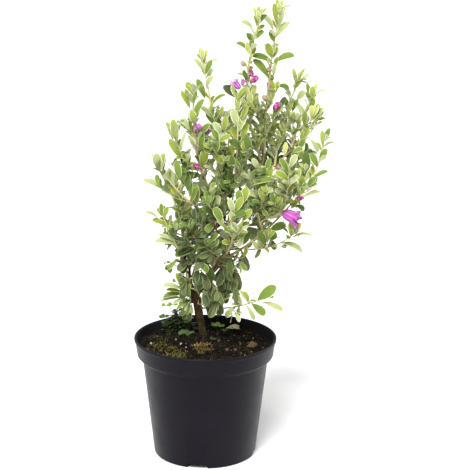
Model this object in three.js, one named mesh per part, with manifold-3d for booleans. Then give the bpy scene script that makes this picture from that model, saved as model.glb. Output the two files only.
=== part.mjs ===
// Texas sage, a small grey-green flowering shrub, growing in a round nursery pot.
// Lengths are in millimetres and angles in degrees. X is right, Y is back and Z is up,
// from the middle of the pot's flat underside.
import * as THREE from "three";
import { mergeVertices } from "three/addons/utils/BufferGeometryUtils.js";
import Module from "manifold-3d";

const wasm = await Module();
wasm.setup();

// The pot
const POT = {
  height: 144,
  rimRadius: 85,
  wall: 2.2,
  footRadius: 60.5,
  footChamfer: 4,
  draft: 0.107, // how much the body's radius grows for each millimetre of height
  collarHeight: 27,
  collarStep: 5.6,
  collarSlope: 0.7, // the height of the step under the collar, as a share of its width
  collarRadius: 81.8,
  lipHeight: 4.2,
  lipRound: 0.8,
  floor: 6,
  segments: 40,
};
// The drainage channels under the pot, each with a hole through the floor
const CHANNEL = { count: 4, width: 24, depth: 4, innerEnd: 26, turn: -8.4 };
const HOLE = { radius: 4, at: 44, sides: 12 };

// The soil, with a low mound round the stem's foot
const SOIL = {
  level: 131,
  mound: 9,
  moundRadius: 30,
  flatRadius: 11,
  wave: 1.3,
  waveLengthX: 69,
  waveLengthY: 82,
  rings: [1, 0.7, 0.42, 0.25, 0.12, 0],
};

// Clearance between pieces that touch
const GAP = 0.3;

// The trunk, from its flat cut on the soil to its fork
const TRUNK = {
  foot: [-2, 14],
  tip: [-10.5, 10, 190],
  bow: [-1, 0, 0],
  footRadius: 4.4,
  tipRadius: 4,
  flare: 3.4,
  flareHeight: 6,
  flareLobes: 3,
  lobeDepth: 0.35,
  sides: 12,
  step: 5,
};

// The boughs: where each leaves its parent, as a share of the parent's length, where it ends,
// how far its middle stands off the straight line, and its radius at its foot and its tip
const BOUGH = { sides: 7, step: 13 };
const BOUGHS = {
  right_bough: { from: "trunk", at: 1, tip: [26, 2, 250], bow: [-2, 2, 0], radii: [3.5, 2.8] },
  left_bough: { from: "trunk", at: 0.9, tip: [-19.5, 0, 242], bow: [-4, 1, 0], radii: [2.2, 1.6] },
  centre_bough: { from: "right_bough", at: 1, tip: [31, -10, 316], bow: [-3, 0, 0], radii: [1.9, 1.3] },
  right_arm: { from: "right_bough", at: 0.93, tip: [104, -14, 317], bow: [-1, -4, -7], radii: [1.9, 1.1] },
  back_bough: { from: "right_bough", at: 0.84, tip: [60, 20, 320], bow: [2, 4, -3], radii: [2, 1.5] },
  rear_bough: { from: "right_bough", at: 0.62, tip: [14, 30, 318], bow: [-2, 7, -4], radii: [1.9, 1.3] },
  diagonal_bough: { from: "centre_bough", at: 0.2, tip: [-17, -28, 320], bow: [2, -2, -3], radii: [1.4, 1] },
  high_bough: { from: "back_bough", at: 1, tip: [68, 14, 364], bow: [0, 2, 0], radii: [1.4, 1.1] },
  right_high_bough: { from: "back_bough", at: 0.9, tip: [108, 12, 379], bow: [-3, 3, 0], radii: [1.2, 0.9] },
};

// How the masses differ: bare is the share of the stem below its first leaf, leaf the length of the
// largest leaf, every the distance from leaf to leaf, and droop how far the leaves hang
const LEADER = { bare: 0.1, leaf: 29, every: 14, droop: 0 };
const SHOOT = { bare: 0.13, leaf: 31, every: 14, droop: 0 };
const LEAFY = { bare: 0.12, leaf: 34, every: 9, droop: 0 };
const SPRIG = { bare: 0.32, leaf: 29, every: 12, droop: 0 };
const DRAPED = { bare: 0.12, leaf: 33, every: 6, droop: 0.5 };
const HANGING = { bare: 0.1, leaf: 40, every: 6, droop: 1 };

// The masses of foliage, each grown from one stem that leaves its bough as a bough leaves its parent
const MASSES = {
  top_leader: { from: "high_bough", at: 1, tip: [83, 2, 530], bow: [-4, 3, 0], ...LEADER },
  second_leader: { from: "high_bough", at: 0.8, tip: [60, -10, 522], bow: [-15, 2, 0], ...LEADER },
  right_rear_shoot: { from: "right_high_bough", at: 0.5, tip: [107, 32, 446], bow: [-4, 4, 0], ...LEADER },
  right_tall_shoot: { from: "right_high_bough", at: 0.86, tip: [124, 18, 432], bow: [-1, 2, 2], ...LEADER },
  right_outer_shoot: { from: "right_high_bough", at: 1, tip: [129, 3, 408], bow: [2, -1, -2], ...LEADER },
  arm_end_shoot: { from: "right_arm", at: 1, tip: [135, -14, 386], bow: [5, 0, -6], ...LEADER },
  arm_flower_twig: { from: "right_arm", at: 0.22, tip: [102, -34, 281], bow: [3, -2, -5], ...SPRIG },
  arm_drooping_leaves: { from: "right_arm", at: 0.4, tip: [67, -4, 255], bow: [4, 0, -2], ...DRAPED },
  arm_inner_shoot: { from: "right_arm", at: 0.5, tip: [62, -32, 350], bow: [-6, -4, 2], ...LEAFY },
  arm_front_shoot: { from: "right_arm", at: 0.76, tip: [94, -58, 356], bow: [0, -8, -4], ...LEAFY },
  front_leader: { from: "centre_bough", at: 1, tip: [41, -40, 428], bow: [5, 2, 0], ...SHOOT },
  centre_inner_shoot: { from: "centre_bough", at: 0.85, tip: [16, -26, 398], bow: [-6, -4, 4], ...LEAFY },
  centre_front_shoot: { from: "right_bough", at: 0.92, tip: [34, -60, 300], bow: [0, -8, -6], ...LEAFY },
  front_low_shoot: { from: "diagonal_bough", at: 0.3, tip: [6, -62, 334], bow: [0, -8, -8], ...LEAFY },
  left_tall_leader: { from: "rear_bough", at: 1, tip: [-5, 12, 474], bow: [5, -3, -2], ...LEADER },
  left_leader: { from: "centre_bough", at: 0.55, tip: [-15, -10, 440], bow: [-11, 0, -4], ...SPRIG },
  left_outer_shoot: { from: "diagonal_bough", at: 1, tip: [-37, -38, 400], bow: [2, -2, -3], ...SHOOT },
  left_side_shoot: { from: "diagonal_bough", at: 0.9, tip: [-42, -46, 346], bow: [1, -2, -3], ...SHOOT },
  far_left_shoot: { from: "left_bough", at: 1, tip: [-54, -20, 352], bow: [5, -2, 2], ...SHOOT },
  low_left_shoot: { from: "left_bough", at: 0.86, tip: [-49, -14, 294], bow: [1, 0, -4], ...SHOOT },
  left_rear_shoot: { from: "left_bough", at: 0.94, tip: [-36, 48, 326], bow: [-3, 8, -4], ...SHOOT },
  left_inner_shoot: { from: "left_bough", at: 0.8, tip: [-8, -24, 298], bow: [1, -6, -3], ...LEAFY },
  left_hanging_leaves: { from: "left_bough", at: 0.62, tip: [-32, -16, 252], bow: [0, -2, 5], ...DRAPED },
  left_front_leaves: { from: "left_bough", at: 0.45, tip: [-10, -30, 246], bow: [0, -4, 4], ...DRAPED },
  left_foot_leaves: { from: "left_bough", at: 0.18, tip: [-34, -10, 214], bow: [0, -3, 3], ...SPRIG },
  foot_sprig: { from: "trunk", at: 0.74, tip: [72, -28, 203], bow: [0, -6, -4], ...SPRIG },
  right_hanging_leaves: { from: "right_bough", at: 0.66, tip: [34, -22, 218], bow: [8, -4, 6], ...HANGING },
  front_hanging_leaves: { from: "right_bough", at: 0.3, tip: [12, -30, 200], bow: [4, -4, 8], ...HANGING },
  centre_low_shoot: { from: "right_bough", at: 0.8, tip: [2, -42, 280], bow: [-2, -6, -6], ...LEAFY },
  low_rear_shoot: { from: "right_bough", at: 0.4, tip: [30, 56, 246], bow: [4, 4, -4], ...SHOOT },
  rear_left_shoot: { from: "rear_bough", at: 0.8, tip: [-20, 56, 400], bow: [-4, 8, -4], ...SHOOT },
  rear_centre_shoot: { from: "rear_bough", at: 0.92, tip: [28, 60, 410], bow: [2, 9, -4], ...SHOOT },
  rear_right_shoot: { from: "back_bough", at: 0.8, tip: [66, 64, 380], bow: [2, 9, -5], ...SHOOT },
  rear_outer_shoot: { from: "right_high_bough", at: 0.3, tip: [108, 60, 362], bow: [3, 6, -6], ...SHOOT },
  rear_low_shoot: { from: "back_bough", at: 0.45, tip: [80, 50, 290], bow: [4, 5, -5], ...SHOOT },
  rear_inner_shoot: { from: "rear_bough", at: 0.55, tip: [-2, 62, 322], bow: [-2, 7, -5], ...SHOOT },
};

// How a mass grows: its stem, its side twigs and its leaves
const GOLDEN_ANGLE = 137.5;
const STEM = { radii: [1.2, 0.75], sides: 3, step: 28 };
const TWIG = {
  every: 26,
  reach: 34,
  tipShare: 0.5, // the reach of the twigs at the stem's tip, as a share of the reach at its foot
  shorter: 0.6, // a twig that leaves its space is tried once more at this share of its length
  spread: 44,
  lift: 0.18,
  radii: [0.85, 0.6],
  bare: 0.15,
  lastAt: 0.8,
};
const LEAF = {
  first: 4,
  last: 0.985,
  crowding: 1.3, // above 1 the leaves stand closer together towards the tip
  footSpread: 60,
  tipSpread: 22,
  tipShare: 0.6, // the size of the leaves at the tip, as a share of the largest
  widest: 0.6,
  width: 0.58,
  thickness: 0.04,
  arch: 0.1,
  rootOut: 0.3, // how far the root stands from the twig's middle, as a share of the twig's radius
  apart: 0.4, // the least distance between the middles of two leaves, as a share of a leaf's length
};
// How a leaf may stand: as it grew, more upright and smaller, or turned aside
const LEAF_STANCES = [
  { turn: 0, spread: 1, size: 1 },
  { turn: 0, spread: 0.65, size: 0.95 },
  { turn: 60, spread: 0.85, size: 0.85 },
  { turn: -60, spread: 0.85, size: 0.85 },
  { turn: 180, spread: 0.8, size: 0.8 },
  { turn: 0, spread: 0.5, size: 0.65 },
];

// How clear the masses keep of each other, of the limbs, of the soil and of the pot's rim
const CLEAR = { space: 1.6, limb: 0.7, soil: 2, rim: 1 };
const SAMPLE_STEP = 2;

// The blossom, by the mass that carries it: how far up its stem, and the way it faces round Z and up
const FLOWERS = [
  { kind: "bloom", on: "arm_flower_twig", at: 0.78, heading: -70, rise: 62 },
  { kind: "bloom", on: "second_leader", at: 0.6, heading: -20, rise: 35 },
  { kind: "bloom", on: "second_leader", at: 0.53, heading: -150, rise: 30 },
  { kind: "bloom", on: "left_leader", at: 0.62, heading: -110, rise: 25 },
  { kind: "bud", on: "left_leader", at: 0.33, heading: 170, rise: 45 },
  { kind: "bud", on: "top_leader", at: 0.2, heading: -40, rise: 50 },
  { kind: "bud", on: "top_leader", at: 0.32, heading: -150, rise: 50 },
  { kind: "bud", on: "arm_end_shoot", at: 0.14, heading: -70, rise: 10 },
];
const BLOOM = { lobes: 5, radii: [0.9, 1.1, 3.5, 10], heights: [0, 6, 15.4, 23], notch: 0.62, hollow: 6 };
const BUD = { sides: 6, profile: [[0, 0], [0.8, 0], [0.8, 4], [2.8, 8], [2, 11.6], [0, 13]] };

const FINISHES = {
  plastic: { color: 0x2f2d33, roughness: 0.5, metalness: 0 },
  soil: { color: 0x2a2018, roughness: 1, metalness: 0 },
  bark: { color: 0x6b4f38, roughness: 0.9, metalness: 0 },
  foliage: { color: 0x8a9c62, roughness: 0.8, metalness: 0 },
};

const radians = THREE.MathUtils.degToRad;
const vector = ([x, y, z]) => new THREE.Vector3(x, y, z);
const UP = new THREE.Vector3(0, 0, 1);

// A repeatable run of numbers from 0 to 1
function seeded(seed) {
  let state = seed;
  return () => {
    state = (state * 48271) % 2147483647;
    return state / 2147483647;
  };
}

// Solids and meshes
function solidOf(geometry) {
  const bare = geometry.index ? geometry.toNonIndexed() : geometry.clone();
  bare.deleteAttribute("normal");
  bare.deleteAttribute("uv");
  const merged = mergeVertices(bare, 1e-4);
  const mesh = new wasm.Mesh({
    numProp: 3,
    vertProperties: merged.attributes.position.array,
    triVerts: new Uint32Array(merged.index.array),
  });
  return new wasm.Manifold(mesh);
}

function geometryOf(solid) {
  const { vertProperties, numProp, triVerts, numVert } = solid.getMesh();
  const positions = new Float32Array(numVert * 3);
  for (let i = 0; i < numVert; i++) {
    positions.set(vertProperties.subarray(i * numProp, i * numProp + 3), i * 3);
  }
  const geometry = new THREE.BufferGeometry();
  geometry.setAttribute("position", new THREE.BufferAttribute(positions, 3));
  geometry.setIndex(new THREE.BufferAttribute(triVerts, 1));
  return geometry;
}

function namedMesh(name, geometry, finish) {
  const mesh = new THREE.Mesh(geometry, new THREE.MeshStandardMaterial(FINISHES[finish]));
  mesh.name = name;
  return mesh;
}

function turned(profile, segments) {
  const points = profile.map(([radius, height]) => new THREE.Vector2(radius, height));
  return new THREE.LatheGeometry(points, segments);
}

// The pot's outside radius: a tapering body, a step out to the collar, and the collar up to the lip
const COLLAR_FOOT = POT.height - POT.collarHeight;
const COLLAR_LEDGE = COLLAR_FOOT + POT.collarStep * POT.collarSlope;
const LIP_FOOT = POT.height - POT.lipHeight;
const bodyRadius = (height) => POT.footRadius + POT.draft * height;
const collarRadius = (height) => {
  const share = (height - COLLAR_LEDGE) / (LIP_FOOT - COLLAR_LEDGE);
  return THREE.MathUtils.lerp(bodyRadius(COLLAR_FOOT) + POT.collarStep, POT.collarRadius, share);
};

function potMesh() {
  const outside = [
    [0, 0],
    [POT.footRadius - POT.footChamfer, 0],
    [bodyRadius(POT.footChamfer), POT.footChamfer],
    [bodyRadius(COLLAR_FOOT), COLLAR_FOOT],
    [collarRadius(COLLAR_LEDGE), COLLAR_LEDGE],
    [collarRadius(LIP_FOOT), LIP_FOOT],
    [POT.rimRadius, LIP_FOOT + POT.lipRound],
    [POT.rimRadius, POT.height - POT.lipRound],
    [POT.rimRadius - POT.lipRound, POT.height],
  ];
  const inside = [
    [POT.collarRadius - POT.wall + POT.lipRound, POT.height],
    [collarRadius(LIP_FOOT) - POT.wall, LIP_FOOT],
    [collarRadius(COLLAR_LEDGE) - POT.wall, COLLAR_LEDGE],
    [bodyRadius(COLLAR_FOOT) - POT.wall, COLLAR_FOOT],
    [bodyRadius(POT.floor) - POT.wall, POT.floor],
    [0, POT.floor],
  ];
  let pot = solidOf(turned([...outside, ...inside], POT.segments).rotateX(Math.PI / 2));
  const channelLength = POT.rimRadius - CHANNEL.innerEnd;
  for (let k = 0; k < CHANNEL.count; k++) {
    const angle = radians(CHANNEL.turn - 90 + (360 / CHANNEL.count) * k);
    const channel = new THREE.BoxGeometry(channelLength, CHANNEL.width, 2 * CHANNEL.depth)
      .translate(CHANNEL.innerEnd + channelLength / 2, 0, 0)
      .rotateZ(angle);
    const hole = new THREE.CylinderGeometry(HOLE.radius, HOLE.radius, 4 * POT.floor, HOLE.sides)
      .rotateX(Math.PI / 2)
      .translate(HOLE.at, 0, 0)
      .rotateZ(angle);
    pot = pot.subtract(solidOf(channel)).subtract(solidOf(hole));
  }
  return namedMesh("pot", geometryOf(pot), "plastic");
}

// The soil's height at a point: a mound with a flat top where the trunk stands, and soft waves round it
function soilHeight(x, y) {
  const away = Math.hypot(x - TRUNK.foot[0], y - TRUNK.foot[1]);
  const rise = Math.exp(-((Math.max(0, away - SOIL.flatRadius) / SOIL.moundRadius) ** 2));
  const across = Math.sin((2 * Math.PI * x) / SOIL.waveLengthX);
  const back = Math.cos((2 * Math.PI * y) / SOIL.waveLengthY);
  return SOIL.level + SOIL.mound * rise + SOIL.wave * across * back * (1 - rise);
}

function soilMesh() {
  const clear = POT.wall + GAP;
  const side = [
    [0, POT.floor + GAP],
    [bodyRadius(POT.floor) - clear, POT.floor + GAP],
    [bodyRadius(COLLAR_FOOT) - clear, COLLAR_FOOT + GAP],
    [collarRadius(COLLAR_LEDGE) - clear, COLLAR_LEDGE + GAP],
  ];
  const rimRadius = collarRadius(SOIL.level - 2 * SOIL.wave) - clear;
  const top = SOIL.rings.map((share) => [rimRadius * share, SOIL.level]);
  const geometry = turned([...side, ...top], POT.segments).rotateX(Math.PI / 2);
  const position = geometry.attributes.position;
  for (let i = 0; i < position.count; i++) {
    if (position.getZ(i) === SOIL.level) {
      position.setZ(i, soilHeight(position.getX(i), position.getY(i)));
    }
  }
  return namedMesh("soil", geometryOf(solidOf(geometry)), "soil");
}

// A round or three-sided stick along a curve: a cylinder bent to it, thinning from foot to tip
function stick({ curve, radiusAt, sides, steps }) {
  const geometry = new THREE.CylinderGeometry(1, 1, 1, sides, steps);
  const frames = curve.computeFrenetFrames(steps, false);
  const position = geometry.attributes.position;
  for (let i = 0; i < position.count; i++) {
    const share = position.getY(i) + 0.5;
    const step = Math.round(share * steps);
    const around = Math.atan2(position.getZ(i), position.getX(i));
    const size = Math.hypot(position.getX(i), position.getZ(i)) * radiusAt(share, around);
    const place = curve
      .getPointAt(share)
      .addScaledVector(frames.normals[step], -Math.cos(around) * size)
      .addScaledVector(frames.binormals[step], Math.sin(around) * size);
    position.setXYZ(i, place.x, place.y, place.z);
  }
  return geometry;
}

// A limb's line: a gentle bow from its foot to its tip, in straight runs of about one step
function bowed(foot, tip, bow, step) {
  const middle = foot.clone().add(tip).multiplyScalar(0.5).addScaledVector(bow, 2);
  const smooth = new THREE.QuadraticBezierCurve3(foot, middle, tip);
  const steps = Math.max(3, Math.round(smooth.getLength() / step));
  const points = smooth.getSpacedPoints(steps);
  const curve = new THREE.CurvePath();
  points.slice(1).forEach((point, i) => curve.add(new THREE.LineCurve3(points[i], point)));
  return { curve, steps, length: curve.getLength() };
}

// Where a limb that leaves its parent starts: just clear of the parent's tip or its flank
function footOn(parent, at, aim, radius) {
  const point = parent.curve.getPointAt(at);
  const along = parent.curve.getTangentAt(at);
  const way = aim.clone().sub(point).normalize();
  const slant = way.angleTo(along);
  if (at === 1) return point.addScaledVector(along, GAP + radius * Math.sin(slant));
  const out = way.addScaledVector(along, -way.dot(along)).normalize();
  return point.addScaledVector(out, parent.radiusAt(at, 0) + GAP + radius * Math.abs(Math.cos(slant)));
}

function makeLimb({ name, from, at, tip, bow, radii, step }, limbs) {
  const end = vector(tip);
  const lean = vector(bow);
  const parent = limbs.get(from);
  const start = parent.curve.getPointAt(at);
  const aim = start.clone().add(end).multiplyScalar(0.5).addScaledVector(lean, 2);
  const foot = footOn(parent, at, aim, radii[0]);
  const radiusAt = (share) => THREE.MathUtils.lerp(radii[0], radii[1], share);
  return { name, radiusAt, ...bowed(foot, end, lean, step) };
}

function makeTrunk() {
  const foot = new THREE.Vector3(...TRUNK.foot, SOIL.level + SOIL.mound + GAP);
  const line = bowed(foot, vector(TRUNK.tip), vector(TRUNK.bow), TRUNK.step);
  const radiusAt = (share, around) => {
    const spread = Math.exp((-share * line.length) / TRUNK.flareHeight);
    const roots = 1 + TRUNK.lobeDepth * Math.cos(TRUNK.flareLobes * around);
    return THREE.MathUtils.lerp(TRUNK.footRadius, TRUNK.tipRadius, share) + TRUNK.flare * spread * roots;
  };
  return { name: "trunk", radiusAt, ...line };
}

// The trunk's foot is cut level with the soil
function trunkMesh(trunk) {
  const geometry = stick({ ...trunk, sides: TRUNK.sides });
  const position = geometry.attributes.position;
  const level = SOIL.level + SOIL.mound + GAP;
  for (let i = 0; i < position.count; i++) {
    position.setZ(i, Math.max(level, position.getZ(i)));
  }
  return namedMesh("trunk", geometryOf(solidOf(geometry)), "bark");
}

function boughMesh(limb) {
  const geometry = stick({ ...limb, sides: BOUGH.sides });
  return namedMesh(limb.name, geometryOf(solidOf(geometry)), "bark");
}

// The distance from a point to a limb's or a stem's line, and how far along it that is
function nearest(line, point) {
  let best = Infinity;
  let share = 0;
  line.samples.forEach((sample, i) => {
    const away = sample.distanceTo(point);
    if (away < best) {
      best = away;
      share = i / (line.samples.length - 1);
    }
  });
  return { away: best, share };
}

function sampled(line) {
  return { ...line, samples: line.curve.getSpacedPoints(Math.ceil(line.length / SAMPLE_STEP)) };
}

// Each mass keeps to the points that lie nearer to its own stem than to any other,
// clear of every limb, of the soil and of the pot
function staysInSpace(points, own, stems, limbs) {
  return points.every((point) => {
    const inPot = Math.hypot(point.x, point.y) < POT.collarRadius - POT.wall - CLEAR.rim;
    const floor = inPot ? soilHeight(point.x, point.y) + CLEAR.soil : POT.height + CLEAR.rim;
    const home = nearest(own, point).away + CLEAR.space;
    const clearOfLimb = (limb) => {
      const { away, share } = nearest(limb, point);
      return away > limb.radiusAt(share, 0) + CLEAR.limb;
    };
    return (
      point.z > floor &&
      stems.every((stem) => stem === own || nearest(stem, point).away > home) &&
      limbs.every(clearOfLimb)
    );
  });
}

// A direction that leaves a line at an angle, at a turn round it
function leaving(along, turn, spread) {
  const across = Math.abs(along.z) > 0.95 ? new THREE.Vector3(1, 0, 0) : UP;
  const side = new THREE.Vector3().crossVectors(along, across).normalize();
  side.applyAxisAngle(along, radians(turn));
  const way = along.clone().multiplyScalar(Math.cos(radians(spread)));
  return way.addScaledVector(side, Math.sin(radians(spread)));
}

// A side twig: it leaves the stem at an angle and leans up towards the light
function makeTwig(stem, at, turn, length) {
  const foot = stem.curve.getPointAt(at);
  const way = leaving(stem.curve.getTangentAt(at), turn, TWIG.spread);
  way.addScaledVector(UP, TWIG.lift).normalize();
  const curve = new THREE.LineCurve3(foot, foot.clone().addScaledVector(way, length));
  const radiusAt = (share) => THREE.MathUtils.lerp(...TWIG.radii, share);
  return sampled({ curve, radiusAt, length, steps: 1 });
}

// A leaf's place: its root, its length, and its own directions along, across and up from the blade
function bladeAt(root, way, face, size) {
  const side = new THREE.Vector3().crossVectors(way, face).normalize();
  const up = new THREE.Vector3().crossVectors(side, way).normalize();
  return { root, way, side, up, size };
}

function onBlade({ root, way, side, up, size }, along, across, rise) {
  return root
    .clone()
    .addScaledVector(way, along * size)
    .addScaledVector(side, across * LEAF.width * size)
    .addScaledVector(up, rise * size);
}

// A leaf: a six-faced blade, narrow at its root, widest past its middle, ridged along the top of its arch
function leafGeometry(blade) {
  const geometry = new THREE.SphereGeometry(1, 3, 2);
  const position = geometry.attributes.position;
  for (let i = 0; i < position.count; i++) {
    const pole = Math.abs(position.getY(i)) > 0.5;
    const edge = Math.abs(position.getZ(i)) > 0.5 ? Math.sign(position.getZ(i)) : 0;
    const along = pole ? (position.getY(i) + 1) / 2 : LEAF.widest;
    const rise = pole ? 0 : LEAF.arch + (edge ? 0 : LEAF.thickness);
    const place = onBlade(blade, along, edge / 2, rise);
    position.setXYZ(i, place.x, place.y, place.z);
  }
  return geometry;
}

// The points of a leaf that are tested against its space, as shares of its length and its width
const BLADE_POINTS = [
  [1, 0],
  [0.8, 0.25],
  [0.8, -0.25],
  [LEAF.widest, 0.5],
  [LEAF.widest, -0.5],
  [0.4, 0],
  [0.7, 0],
];
const bladePoints = (blade) => {
  return BLADE_POINTS.map(([along, across]) => onBlade(blade, along, across, LEAF.arch / 2));
};

// Whether a limb or another mass's stem runs through a leaf, or close past it
function meetsBlade(line, { root, way, side, up, size }) {
  return line.samples.some((sample, i) => {
    const away = sample.clone().sub(root);
    const near = CLEAR.limb + line.radiusAt(i / (line.samples.length - 1), 0);
    const along = away.dot(way) / size;
    const shape = Math.min(along / LEAF.widest, (1 - along) / (1 - LEAF.widest));
    const rise = away.dot(up);
    return (
      shape > -near / size &&
      Math.abs(away.dot(side)) < (shape * LEAF.width * size) / 2 + near &&
      rise > -near &&
      rise < (LEAF.arch + LEAF.thickness) * size + near
    );
  });
}

// A leaf takes the first of these ways to stand that keeps to its space, clear of the leaves before it
function placeLeaf(grown, line, at, turn, spread, length, droop) {
  const middleOfStick = line.curve.getPointAt(at);
  const along = line.curve.getTangentAt(at);
  for (const stance of LEAF_STANCES) {
    const way = leaving(along, turn + stance.turn, spread * stance.spread);
    way.addScaledVector(UP, -droop).normalize();
    const out = way.clone().addScaledVector(along, -way.dot(along)).normalize();
    const root = middleOfStick.clone().addScaledVector(out, LEAF.rootOut * line.radiusAt(at));
    const face = along.clone().addScaledVector(UP, droop);
    face.addScaledVector(way, -face.dot(way)).normalize();
    const size = length * stance.size;
    const middle = root.clone().addScaledVector(way, LEAF.widest * size);
    const crowded = grown.middles.some((other) => other.distanceTo(middle) < LEAF.apart * size);
    const blade = bladeAt(root, way, face, size);
    const meets = grown.others.some((other) => meetsBlade(other, blade));
    if (crowded || meets || !grown.space(bladePoints(blade))) continue;
    grown.middles.push(middle);
    grown.pieces.push(leafGeometry(blade));
    return;
  }
}

// Leaves go round a stem or twig by the golden angle, smaller, closer and more upright to the tip
function addLeaves(grown, line, bare, { leaf, every, droop }, random) {
  const lerp = THREE.MathUtils.lerp;
  const first = Math.max(bare * line.length, LEAF.first) / line.length;
  const count = Math.max(2, Math.round(((1 - first) * line.length) / every));
  let turn = 360 * random();
  for (let k = 0; k < count; k++) {
    const at = 1 - (1 - first) * (1 - (k + 0.3 * random()) / (count - 0.7)) ** LEAF.crowding;
    const length = leaf * lerp(1, LEAF.tipShare, at) * lerp(0.85, 1.1, random());
    const spread = lerp(LEAF.footSpread, LEAF.tipSpread, at) * lerp(0.9, 1.1, random());
    placeLeaf(grown, line, Math.min(at, LEAF.last), turn, spread, length, droop);
    turn += GOLDEN_ANGLE + lerp(-10, 10, random());
  }
}

// An open bloom: a bell on a short stalk, with lobes round its mouth
function bloomGeometry() {
  const sides = BLOOM.lobes * 2;
  const rows = BLOOM.radii.length - 1;
  const geometry = new THREE.CylinderGeometry(1, 1, 1, sides, rows);
  const position = geometry.attributes.position;
  for (let i = 0; i < position.count; i++) {
    const row = Math.round((position.getY(i) + 0.5) * rows);
    const around = Math.atan2(position.getZ(i), position.getX(i));
    const centre = Math.hypot(position.getX(i), position.getZ(i)) < 0.5;
    const notched = row === rows && Math.round((around / (2 * Math.PI)) * sides) % 2 !== 0;
    const radius = centre ? 0 : BLOOM.radii[row] * (notched ? BLOOM.notch : 1);
    const height = BLOOM.heights[row] - (centre && row === rows ? BLOOM.hollow : 0);
    position.setXYZ(i, radius * Math.cos(around), height, radius * Math.sin(around));
  }
  return geometry;
}

const budGeometry = () => turned(BUD.profile, BUD.sides);

// A flower stands on Y, and is turned to its way and moved to its root on the stem
function addFlowers(pieces, stem) {
  for (const { kind, on, at, heading, rise } of FLOWERS) {
    if (on !== stem.name) continue;
    const root = stem.curve.getPointAt(at);
    const way = new THREE.Vector3(Math.cos(radians(rise)), 0, Math.sin(radians(rise)));
    way.applyAxisAngle(UP, radians(heading));
    const turn = new THREE.Quaternion().setFromUnitVectors(new THREE.Vector3(0, 1, 0), way);
    const geometry = kind === "bloom" ? bloomGeometry() : budGeometry();
    pieces.push(geometry.applyQuaternion(turn).translate(root.x, root.y, root.z));
  }
}

// The largest body of a union, with any hollow that the fusing sealed filled in
function fused(geometries) {
  const whole = wasm.Manifold.union(geometries.map(solidOf));
  const bodies = whole.decompose().sort((a, b) => b.volume() - a.volume());
  return bodies[0];
}

// The side twigs that fit the space, round the stem by the golden angle
function growTwigs(stem, space, random) {
  const lerp = THREE.MathUtils.lerp;
  const count = Math.round((stem.length * (1 - stem.bare)) / TWIG.every);
  const twigs = [];
  let turn = 360 * random();
  for (let k = 0; k < count; k++) {
    const at = lerp(stem.bare, TWIG.lastAt, (k + 0.5 * random()) / count);
    const length = TWIG.reach * lerp(1, TWIG.tipShare, at) * lerp(0.7, 1.2, random());
    const twig = [length, length * TWIG.shorter]
      .map((reach) => makeTwig(stem, at, turn, reach))
      .find((line) => space(line.samples.slice(2)));
    if (twig) twigs.push(twig);
    turn += GOLDEN_ANGLE;
  }
  return twigs;
}

function massMesh(stem, index, stems, limbs) {
  const random = seeded(4001 + 97 * index);
  const space = (points) => staysInSpace(points, stem, stems, limbs);
  const others = [...limbs, ...stems.filter((other) => other !== stem)];
  const grown = { space, others, middles: [], pieces: [stick({ ...stem, sides: STEM.sides })] };
  for (const twig of growTwigs(stem, space, random)) {
    grown.pieces.push(stick({ ...twig, sides: STEM.sides }));
    addLeaves(grown, twig, TWIG.bare, stem, random);
  }
  addLeaves(grown, stem, stem.bare, stem, random);
  addFlowers(grown.pieces, stem);
  return namedMesh(stem.name, geometryOf(fused(grown.pieces)), "foliage");
}

function plant() {
  const limbs = new Map([["trunk", sampled(makeTrunk())]]);
  for (const [name, bough] of Object.entries(BOUGHS)) {
    limbs.set(name, sampled(makeLimb({ name, ...BOUGH, ...bough }, limbs)));
  }
  const stems = Object.entries(MASSES).map(([name, mass]) => {
    return sampled({ ...mass, ...makeLimb({ name, ...mass, ...STEM }, limbs) });
  });
  const [trunk, ...boughs] = limbs.values();
  return [
    trunkMesh(trunk),
    ...boughs.map(boughMesh),
    ...stems.map((stem, index) => massMesh(stem, index, stems, [trunk, ...boughs])),
  ];
}

const pottedSage = new THREE.Group();
pottedSage.add(potMesh(), soilMesh(), ...plant());

export default pottedSage;
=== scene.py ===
import math
import random

import bpy
import numpy as np
from mathutils import Euler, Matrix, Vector, noise


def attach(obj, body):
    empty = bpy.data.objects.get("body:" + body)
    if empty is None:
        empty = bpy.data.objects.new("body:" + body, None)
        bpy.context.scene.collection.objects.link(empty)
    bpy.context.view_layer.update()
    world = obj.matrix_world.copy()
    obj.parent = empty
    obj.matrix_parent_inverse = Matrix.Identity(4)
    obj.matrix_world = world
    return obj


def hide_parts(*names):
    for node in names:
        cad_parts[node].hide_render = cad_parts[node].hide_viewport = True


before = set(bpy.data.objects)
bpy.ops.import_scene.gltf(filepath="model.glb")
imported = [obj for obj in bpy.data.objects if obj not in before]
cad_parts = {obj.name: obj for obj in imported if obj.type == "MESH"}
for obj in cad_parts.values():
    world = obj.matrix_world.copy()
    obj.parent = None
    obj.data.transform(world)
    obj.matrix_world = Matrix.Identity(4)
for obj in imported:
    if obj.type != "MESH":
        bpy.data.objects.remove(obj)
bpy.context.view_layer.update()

# Sizes are in millimetres and become metres where a mesh is made
MM = 0.001
UP = np.array([0.0, 0.0, 1.0])
TOWARDS_VIEWER = np.array([0.0, -1.0, 0.25])
GOLDEN_ANGLE = 137.5
# How far each limb stands clear of the one that carries it
GAP = 0.3
# What the random draws of each part start from
SEEDS = {"crumbs": 11, "moss": 23, "weeds": 31, "flowers": 77, "masses": 4001, "mass_step": 97}


# The stage

CAMERA = {"place": (0, -1800, 760), "turn": (74.76, -0.48, -0.96), "lens": 121.9, "film": 36,
          "picture": 470}
VIEW = Euler([math.radians(angle) for angle in CAMERA["turn"]])
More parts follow.
